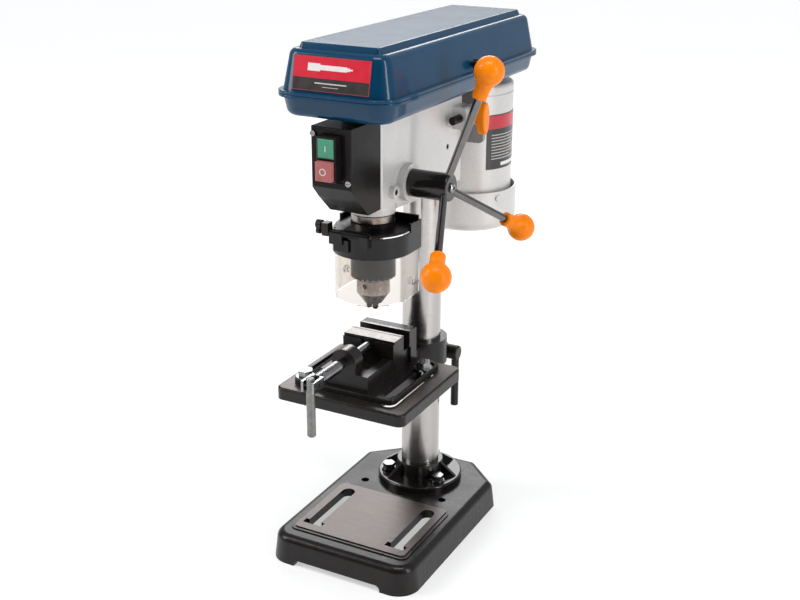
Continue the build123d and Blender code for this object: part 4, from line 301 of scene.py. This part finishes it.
# plastics, rubber and winding
blackPlasticValues = {
    "colour": (0.0075, 0.0062, 0.006), "shade": (0.011, 0.0092, 0.009), "blotch": 0.01,
    "gloss": (0.26, 0.38), "smear": 0.02, "shine": 0.16,
    "relief": ((0.0006, (1, 1, 1), 0.00005), (0.0016, (1, 1, 1), 0.00003)),
    "wear": (0.0005, 0.35, (0.09, 0.09, 0.09)),
}
glossPlasticValues = {
    "colour": (0.006, 0.0058, 0.0065), "shade": (0.009, 0.0085, 0.009), "blotch": 0.012,
    "gloss": (0.14, 0.24), "smear": 0.02, "coat": 0.12, "coatRough": 0.06, "shine": 0.25,
    "relief": ((0.004, (1, 1, 1), 0.00003), (0.02, (1, 1, 1), 0.0001)),
}
orangeValues = {
    "colour": (0.95, 0.245, 0.001), "shade": (0.90, 0.215, 0.001), "blotch": 0.012,
    "gloss": (0.26, 0.34), "smear": 0.01, "coat": 0.05, "coatRough": 0.10, "shine": 0.18,
    "relief": ((0.005, (1, 1, 1), 0.00004), (0.0007, (1, 1, 1), 0.000006)),
}
greenValues = {
    "colour": (0.060, 0.32, 0.19), "shade": (0.045, 0.26, 0.155), "blotch": 0.004,
    "gloss": (0.30, 0.40), "smear": 0.005,
    "relief": ((0.0006, (1, 1, 1), 0.00002),),
}
redValues = {
    "colour": (0.44, 0.125, 0.12), "shade": (0.38, 0.10, 0.10), "blotch": 0.004,
    "gloss": (0.30, 0.42), "smear": 0.005,
    "relief": ((0.0006, (1, 1, 1), 0.00002),),
}
rubberValues = {
    "colour": (0.020, 0.020, 0.020), "shade": (0.032, 0.031, 0.030), "blotch": 0.006,
    "gloss": (0.6, 0.8), "smear": 0.008,
    "relief": ((0.0010, (1, 1, 1), 0.00008), (0.0005, (0.2, 0.2, 2.0), 0.00004)),
}
windingValues = {
    "colour": (0.32, 0.11, 0.045), "shade": (0.22, 0.07, 0.03), "blotch": 0.002,
    "stretch": (1, 1, 0.1), "gloss": (0.22, 0.35), "smear": 0.004, "metal": 0.6,
    "relief": ((0.0010, (1, 1, 0.06), 0.0003),),
}
whiteValues = {
    "colour": (0.78, 0.77, 0.75), "shade": (0.72, 0.71, 0.69), "blotch": 0.003,
    "gloss": (0.35, 0.45), "smear": 0.004, "relief": ((0.0006, (1, 1, 1), 0.00002),),
}
blackPlastic = finish("blackPlastic", blackPlasticValues)
glossPlastic = finish("glossPlastic", glossPlasticValues)
orangePlastic = finish("orangePlastic", orangeValues)
greenPlastic = finish("greenPlastic", greenValues)
redPlastic = finish("redPlastic", redValues)
beltRubber = finish("beltRubber", rubberValues)
winding = finish("winding", windingValues)
whiteMark = finish("whiteMark", whiteValues)


def clearFinish(name, values):
    material, tree, shader = blank(name)
    haze = noise(tree, 0.004, detail=6.0, rough=0.7)
    rough = span(tree, haze, 0.4, 0.75, values["gloss"][0], values["gloss"][1])
    scratch = noise(tree, 0.0009, (0.25, 0.25, 1.0), detail=2.0)
    feed(tree, shader.inputs["Roughness"], rough)
    feed(tree, shader.inputs["Normal"], raised(tree, scratch, values["ripple"]))
    shader.inputs["Base Color"].default_value = rgb(values["colour"])
    shader.inputs["Transmission Weight"].default_value = 1.0
    shader.inputs["IOR"].default_value = values["ior"]
    return material


clearValues = {"colour": (0.80, 0.755, 0.71), "gloss": (0.03, 0.12), "ripple": 0.000010,
               "ior": 1.45}
clearPlastic = clearFinish("clearPlastic", clearValues)
print("finishes made")


# printed panels: bands of colour by height, fine lines, no lettering
panelFilm = {"gloss": (0.28, 0.42), "relief": 0.00002, "coat": 0.35, "coatRough": 0.12}

def panelFinish(name, values):
    material, tree, shader = blank(name)
    height = along(tree, "Z")
    if "round" in values:  # a label bent round an upright axis is measured by angle from +X
        depth = sums(tree, "SUBTRACT", along(tree, "Y"), values["round"])
        across = sums(tree, "ARCTAN2", depth, along(tree, "X"))
    else:
        across = along(tree, "X")
    low, high = values["z"]
    left, right = values["across"]
    inside = sums(tree, "GREATER_THAN", height, values["split"])
    fade = span(tree, noise(tree, 0.01, detail=4.0), 0.3, 0.7, 0.0, 0.3)
    top = mixed(tree, fade, rgb(values["top"]), rgb(values["topShade"]))
    foot = mixed(tree, fade, rgb(values["foot"]), rgb(values["footShade"]))
    colour = mixed(tree, inside, foot, top)
    for lineZ, thick, start, end, tint in values["lines"]:
        gap = sums(tree, "ABSOLUTE", sums(tree, "SUBTRACT", height, lineZ))
        line = sums(tree, "LESS_THAN", gap, thick / 2)
        middle = (start + end) / 2
        reach = sums(tree, "ABSOLUTE", sums(tree, "SUBTRACT", across, middle))
        line = sums(tree, "MULTIPLY", line, sums(tree, "LESS_THAN", reach, (end - start) / 2))
        colour = mixed(tree, line, colour, rgb(tint))
    rim = values["rim"]
    edgeZ = sums(tree, "ABSOLUTE", sums(tree, "SUBTRACT", height, (low + high) / 2))
    edgeX = sums(tree, "ABSOLUTE", sums(tree, "SUBTRACT", across, (left + right) / 2))
    border = sums(tree, "MAXIMUM", sums(tree, "GREATER_THAN", edgeZ, (high - low) / 2 - rim),
                  sums(tree, "GREATER_THAN", edgeX, (right - left) / 2 - rim))
    colour = mixed(tree, border, colour, rgb(values["edge"]))
    feed(tree, shader.inputs["Base Color"], colour)
    rough = span(tree, noise(tree, 0.008, detail=5.0), 0.3, 0.7, *panelFilm["gloss"])
    feed(tree, shader.inputs["Roughness"], rough)
    feed(tree, shader.inputs["Normal"], raised(tree, noise(tree, 0.0012), panelFilm["relief"]))
    shader.inputs["Coat Weight"].default_value = panelFilm["coat"]
    shader.inputs["Coat Roughness"].default_value = panelFilm["coatRough"]
    return material


frontLow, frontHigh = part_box("front_label")
motorLow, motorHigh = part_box("motor_label")
pale = (0.78, 0.76, 0.74)
bitHeight = frontLow.z + 0.0228
frontPanelValues = {
    "across": (frontLow.x, frontHigh.x), "z": (frontLow.z, frontHigh.z),
    "split": frontLow.z + 0.38 * (frontHigh.z - frontLow.z), "rim": 0.0007,
    "top": (0.66, 0.010, 0.035), "topShade": (0.58, 0.008, 0.030),
    "foot": (0.030, 0.024, 0.024), "footShade": (0.042, 0.035, 0.033),
    "edge": (0.32, 0.05, 0.06),
    # height, thickness, start, end, colour: a plain drill bit lying on its side, then two dashes
    "lines": (
        (bitHeight, 0.0072, -0.027, -0.013, pale),
        (bitHeight, 0.0048, -0.013, 0.017, pale),
        (bitHeight, 0.0032, 0.017, 0.0205, pale),
        (bitHeight, 0.0014, 0.0205, 0.0235, pale),
        (frontLow.z + 0.0080, 0.0011, -0.018, 0.018, (0.60, 0.57, 0.55)),
        (frontLow.z + 0.0046, 0.0007, -0.009, 0.009, (0.46, 0.43, 0.42)),
    ),
}


# on the motor's label, places across it are angles from +X round the motor, in radians
motorRowValues = {"rows": 9, "first": 0.0245, "pitch": 0.0036, "thick": 0.0012, "left": -0.60,
                  "right": 0.44, "short": 0.16, "shorter": 0.28, "colour": (0.46, 0.44, 0.43)}
motorBarValues = {"drop": 0.0605, "thick": 0.0042, "left": -0.32}


def motorRows(values, bar):
    rows = []
    for row in range(values["rows"]):
        height = motorHigh.z - values["first"] - values["pitch"] * row
        right = values["right"] - values["short"] * (row % 3 == 1) - values["shorter"] * (row % 4 == 3)
        rows.append((height, values["thick"], values["left"], right, values["colour"]))
    rows.append((motorHigh.z - bar["drop"], bar["thick"], bar["left"], values["right"], pale))
    return rows


motorPanelValues = {
    "across": (-0.724, 0.585), "z": (motorLow.z, motorHigh.z), "round": 0.168,
    "split": motorHigh.z - 0.017, "rim": 0.0012,
    "top": (0.56, 0.012, 0.035), "topShade": (0.48, 0.010, 0.030),
    "foot": (0.016, 0.015, 0.015), "footShade": (0.026, 0.024, 0.023),
    "edge": (0.02, 0.02, 0.02), "lines": motorRows(motorRowValues, motorBarValues),
}
frontPanel = panelFinish("frontPanel", frontPanelValues)
motorPanel = panelFinish("motorPanel", motorPanelValues)

# each CAD part takes its finish
plainFinishes = {
    "base": blackEnamel, "column": columnSteel, "column_flange": glossEnamel,
    "flange_bolts": zincPlate, "head_casting": silverPaint, "head_screws": blackSteel,
    "cord_gland": blackPlastic, "spring_cap": glossPlastic, "return_spring": darkSteel,
    "drive_bearings": bodySteel, "belt_pan": bluePaint, "lid_hinge_pins": zincPlate,
    "switch_box": blackPlastic, "switch_plate": blackPlastic, "drive_belt": beltRubber,
    "feed_shaft": darkSteel, "feed_hub": glossEnamel, "handle_rods": chromePlate,
    "handle_knobs": orangePlastic, "quill": bodySteel, "quill_bearings": bodySteel,
    "guard_clamp": blackPlastic, "guard_hinge_rod": blackSteel, "guide_rod": brass,
    "spindle": bodySteel, "chuck_body": bodySteel, "chuck_sleeve": darkSteel,
    "chuck_jaw_1": darkSteel, "chuck_jaw_2": darkSteel, "chuck_jaw_3": darkSteel,
    "drive_sleeve": bodySteel, "spindle_pulley": aluminium, "motor_can": silverPaint,
    "motor_cup": silverPaint, "motor_label": motorPanel, "motor_stator": winding,
    "motor_bearings": bodySteel, "motor_plate": greyPaint, "slide_bars": darkSteel,
    "motor_rotor": darkSteel, "motor_pulley": aluminium, "slide_lock_knob": orangePlastic,
    "belt_lid": bluePaint, "lid_knob": glossPlastic, "front_label": frontPanel,
    "green_button": greenPlastic, "red_button": redPlastic, "guard_hood": glossPlastic,
    "guard_shield": clearPlastic, "table_bracket": blackEnamel,
    "table_tilt_bolt": zincPlate, "table_clamp_handle": blackSteel, "table": blackEnamel,
    "vise_body": blackEnamel, "vise_fixed_plate": visePad, "vise_bolts": zincPlate,
    "vise_moving_jaw": blackEnamel, "vise_moving_plate": visePad,
    "vise_screw": zincPlate, "vise_handle": dullSteel,
}
for node in nodes:
    wear(node, plainFinishes[node])

padValues = {"above": 0.0349, "halfWidth": 0.0715, "front": -0.1352, "rear": -0.0215}
topSkin = 0.0003  # faces this near a part's highest point are its machined top
screwFront = -0.11  # ahead of this the screws are the switch panel's bright ones
lockStemEnd = 0.0572  # the lock knob's steel stem ends here


def onBasePad(at, up):
    across = abs(at.x) < padValues["halfWidth"]
    lengthwise = padValues["front"] < at.y < padValues["rear"]
    return up.z > 0.9 and at.z > padValues["above"] and across and lengthwise


def machinedTop(node, plain, bright):
    wear(node, plain, bright)
    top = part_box(node)[1].z
    return secondFinish(node, lambda at, up: up.z > 0.95 and at.z > top - topSkin)


wear("base", blackEnamel, groundTop)
print("base pad faces:", secondFinish("base", onBasePad))
print("table top faces:", machinedTop("table", blackEnamel, groundTop))
print("vise ground faces:", machinedTop("vise_body", blackEnamel, visePad))
machinedTop("vise_moving_jaw", blackEnamel, visePad)
for plate in ("vise_fixed_plate", "vise_moving_plate"):
    machinedTop(plate, blackSteel, visePad)
wear("head_screws", blackSteel, zincPlate)
secondFinish("head_screws", lambda at, up: at.y < screwFront)
wear("slide_lock_knob", orangePlastic, blackSteel)
secondFinish("slide_lock_knob", lambda at, up: at.x < lockStemEnd)
print("parts finished")


# new fine pieces in mesh code

def meshPiece(name, body, material, build):
    shape = bmesh.new()
    build(shape)
    bmesh.ops.recalc_face_normals(shape, faces=shape.faces)
    mesh = bpy.data.meshes.new(name)
    shape.to_mesh(mesh)
    shape.free()
    for face in mesh.polygons:
        face.use_smooth = False
    mesh.materials.append(material)
    piece = bpy.data.objects.new(name, mesh)
    bpy.context.scene.collection.objects.link(piece)
    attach(piece, body)
    return piece


def joinRings(shape, rings, closed):
    for step in range(len(rings) if closed else len(rings) - 1):
        one, two = rings[step], rings[(step + 1) % len(rings)]
        for k in range(len(one)):
            n = (k + 1) % len(one)
            shape.faces.new((one[k], one[n], two[n], two[k]))


def sweep(shape, outline, path, closed):
    # outline: points (a, b) of the section; path: a place, sideways and upward for each step
    rings = []
    for here, sideways, upward in path:
        rings.append([shape.verts.new(here + sideways * a + upward * b) for a, b in outline])
    joinRings(shape, rings, closed)
    if not closed:
        shape.faces.new(rings[0])
        shape.faces.new(reversed(rings[-1]))


markValues = {"ring": 0.0032, "stroke": 0.0009, "proud": 0.00022, "bar": 0.0058, "root": 0.0002,
              "taper": 0.8, "steps": 40}


def markOutline():
    half, proud, root = markValues["stroke"] / 2, markValues["proud"], markValues["root"]
    top = half * markValues["taper"]
    return [(-half, root), (half, root), (top, -proud), (-top, -proud)]


def buttonFace(node):
    low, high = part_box(node)
    return Vector(((low.x + high.x) / 2, low.y, (low.z + high.z) / 2))


def buildRing(shape):
    middle = buttonFace("red_button")
    path = []
    for step in range(markValues["steps"]):
        angle = 2 * math.pi * step / markValues["steps"]
        outward = Vector((math.cos(angle), 0, math.sin(angle)))
        path.append((middle + outward * markValues["ring"], outward, Vector((0, 1, 0))))
    sweep(shape, markOutline(), path, True)


def buildBar(shape):
    middle = buttonFace("green_button")
    reach = markValues["bar"] / 2
    path = [(middle + Vector((0, 0, rise)), Vector((1, 0, 0)), Vector((0, 1, 0)))
            for rise in (-reach, reach)]
    sweep(shape, markOutline(), path, False)


meshPiece("redButtonRing", "red_button", whiteMark, buildRing)
meshPiece("greenButtonBar", "green_button", whiteMark, buildBar)

hubScrewValues = {
    "radius": 0.0052, "proud": 0.0030, "socket": 0.0024, "sink": 0.0018, "sides": 40, "root": -0.0004,
    # share of the radius and of the height, from the rim of the cap to the edge of its flat
    "dome": ((1.0, 0.45), (0.93, 0.72), (0.78, 0.92), (0.62, 1.0)),
}


def hexReach(angle, corner):
    # distance from the middle to the side of a six-sided socket, at an angle
    side = math.radians(30) - angle % math.radians(60)
    return corner * math.cos(math.radians(30)) / math.cos(side)


def buildHubScrew(shape):
    # a domed cap with a six-sided socket, on the end of the feed hub
    values = hubScrewValues
    low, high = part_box("feed_hub")
    middle = Vector((high.x, (low.y + high.y) / 2, (low.z + high.z) / 2))
    angles = [2 * math.pi * k / values["sides"] for k in range(values["sides"])]
    corner = values["socket"]

    def ring(out, reach):
        return [shape.verts.new(middle + Vector((out, reach(angle) * math.cos(angle),
                                                 reach(angle) * math.sin(angle))))
                for angle in angles]

    rings = [ring(values["root"], lambda angle: values["radius"])]
    for share, height in values["dome"]:
        rings.append(ring(values["proud"] * height, lambda angle: values["radius"] * share))
    for out in (values["proud"], values["proud"] - values["sink"]):
        rings.append(ring(out, lambda angle: hexReach(angle, corner)))
    joinRings(shape, rings, False)
    shape.faces.new(rings[0])
    shape.faces.new(list(reversed(rings[-1])))


meshPiece("feedHubScrew", "feed", zincPlate, buildHubScrew)
print("fine pieces made")

# floor, light and camera
floorValues = {"colour": (0.55, 0.55, 0.55), "shade": (0.53, 0.53, 0.53), "blotch": 0.6,
               "gloss": (0.55, 0.65), "half": 6.0, "glow": (0.50, 0.80), "reach": (0.45, 1.5)}


def makeFloor(values):
    # its glow rises with the distance from the object, so that it meets the pale backdrop
    half = values["half"]
    mesh = bpy.data.meshes.new("studioFloor")
    corners = [(-half, -half, 0), (half, -half, 0), (half, half, 0), (-half, half, 0)]
    mesh.from_pydata(corners, [], [(0, 1, 2, 3)])
    material = finish("floorFinish", values)
    tree = material.node_tree
    shader = tree.nodes["Principled BSDF"]
    shader.inputs["Emission Color"].default_value = (1, 1, 1, 1)
    squares = [sums(tree, "POWER", along(tree, axis), 2.0) for axis in ("X", "Y")]
    reach = sums(tree, "SQRT", sums(tree, "ADD", squares[0], squares[1]))
    glow = span(tree, reach, *values["reach"], *values["glow"])
    feed(tree, shader.inputs["Emission Strength"], glow)
    mesh.materials.append(material)
    floor = bpy.data.objects.new("studioFloor", mesh)
    bpy.context.scene.collection.objects.link(floor)
    return floor


floor = makeFloor(floorValues)

worldValues = {"seen": (0.97, 0.97, 0.97), "light": (0.92, 0.96, 1.0), "front": 0.05, "back": 0.55,
               "frontAt": -0.6, "backAt": 0.8}


def makeWorld(values):
    # the backdrop looks even, while its light on the object is dim in front and brighter behind
    world = bpy.data.worlds.new("studioWorld")
    bpy.context.scene.world = world
    world.use_nodes = True
    sky = world.node_tree
    seen = sky.nodes["Background"]
    seen.inputs["Color"].default_value = rgb(values["seen"])
    seen.inputs["Strength"].default_value = 1.0
    soft = addNode(sky, "ShaderNodeBackground", Color=rgb(values["light"]))
    heading = sky.nodes.new("ShaderNodeTexCoord")
    split = sky.nodes.new("ShaderNodeSeparateXYZ")
    sky.links.new(heading.outputs["Generated"], split.inputs["Vector"])
    graded = span(sky, split.outputs["Y"], values["frontAt"], values["backAt"],
                  values["front"], values["back"])
    sky.links.new(graded, soft.inputs["Strength"])
    ray = sky.nodes.new("ShaderNodeLightPath")
    choose = sky.nodes.new("ShaderNodeMixShader")
    sky.links.new(ray.outputs["Is Camera Ray"], choose.inputs[0])
    sky.links.new(soft.outputs[0], choose.inputs[1])
    sky.links.new(seen.outputs[0], choose.inputs[2])
    sky.links.new(choose.outputs[0], sky.nodes["World Output"].inputs["Surface"])


makeWorld(worldValues)

lightValues = {
    # name: (place, aimed at, width, height, watts)
    "keyLeft": ((-1.6, -1.1, 1.4), (0, 0, 0.35), 0.8, 1.5, 26),
    "fillRight": ((1.7, -0.3, 0.9), (0, 0, 0.3), 0.30, 1.5, 13),
    "topSoft": ((0.2, -0.5, 2.1), (0, 0, 0.3), 1.2, 0.6, 18),
    "backCard": ((-1.15, 2.2, 1.55), (0, 0, 0.59), 1.5, 0.7, 17),
}


def makeLight(name, spot, target, width, height, watts):
    lamp = bpy.data.lights.new(name, "AREA")
    lamp.shape = "RECTANGLE"
    lamp.size = width
    lamp.size_y = height
    lamp.energy = watts
    lampObject = bpy.data.objects.new(name, lamp)
    lampObject.location = spot
    lampObject.visible_camera = False
    aim = Vector(target) - Vector(spot)
    lampObject.rotation_euler = aim.to_track_quat("-Z", "Y").to_euler()
    bpy.context.scene.collection.objects.link(lampObject)


for name, lightValue in lightValues.items():
    makeLight(name, *lightValue)

cameraValues = {
    "place": (0.60132, -1.14689, 0.77124), "turn": 27.3, "down": 20.52, "roll": 0.42,
    "lens": 53.9, "shift": (-0.0138, -0.0046),
}


def makeCamera(values):
    turn, down, roll = (math.radians(values[key]) for key in ("turn", "down", "roll"))
    forward = Vector((-math.sin(turn) * math.cos(down), math.cos(turn) * math.cos(down),
                      -math.sin(down)))
    right = Vector((math.cos(turn), math.sin(turn), 0))
    up = right.cross(forward)
    rightRolled = right * math.cos(roll) + up * math.sin(roll)
    upRolled = up * math.cos(roll) - right * math.sin(roll)
    data = bpy.data.cameras.new("studioCamera")
    data.lens = values["lens"]
    data.sensor_width = 36.0
    data.shift_x, data.shift_y = values["shift"]
    data.clip_start = 0.02
    camera = bpy.data.objects.new("studioCamera", data)
    turnMatrix = Matrix((rightRolled, upRolled, -forward)).transposed().to_4x4()
    camera.matrix_world = Matrix.Translation(Vector(values["place"])) @ turnMatrix
    bpy.context.scene.collection.objects.link(camera)
    bpy.context.scene.camera = camera


makeCamera(cameraValues)
bpy.context.scene.view_settings.view_transform = "Standard"
print("floor, light and camera set")
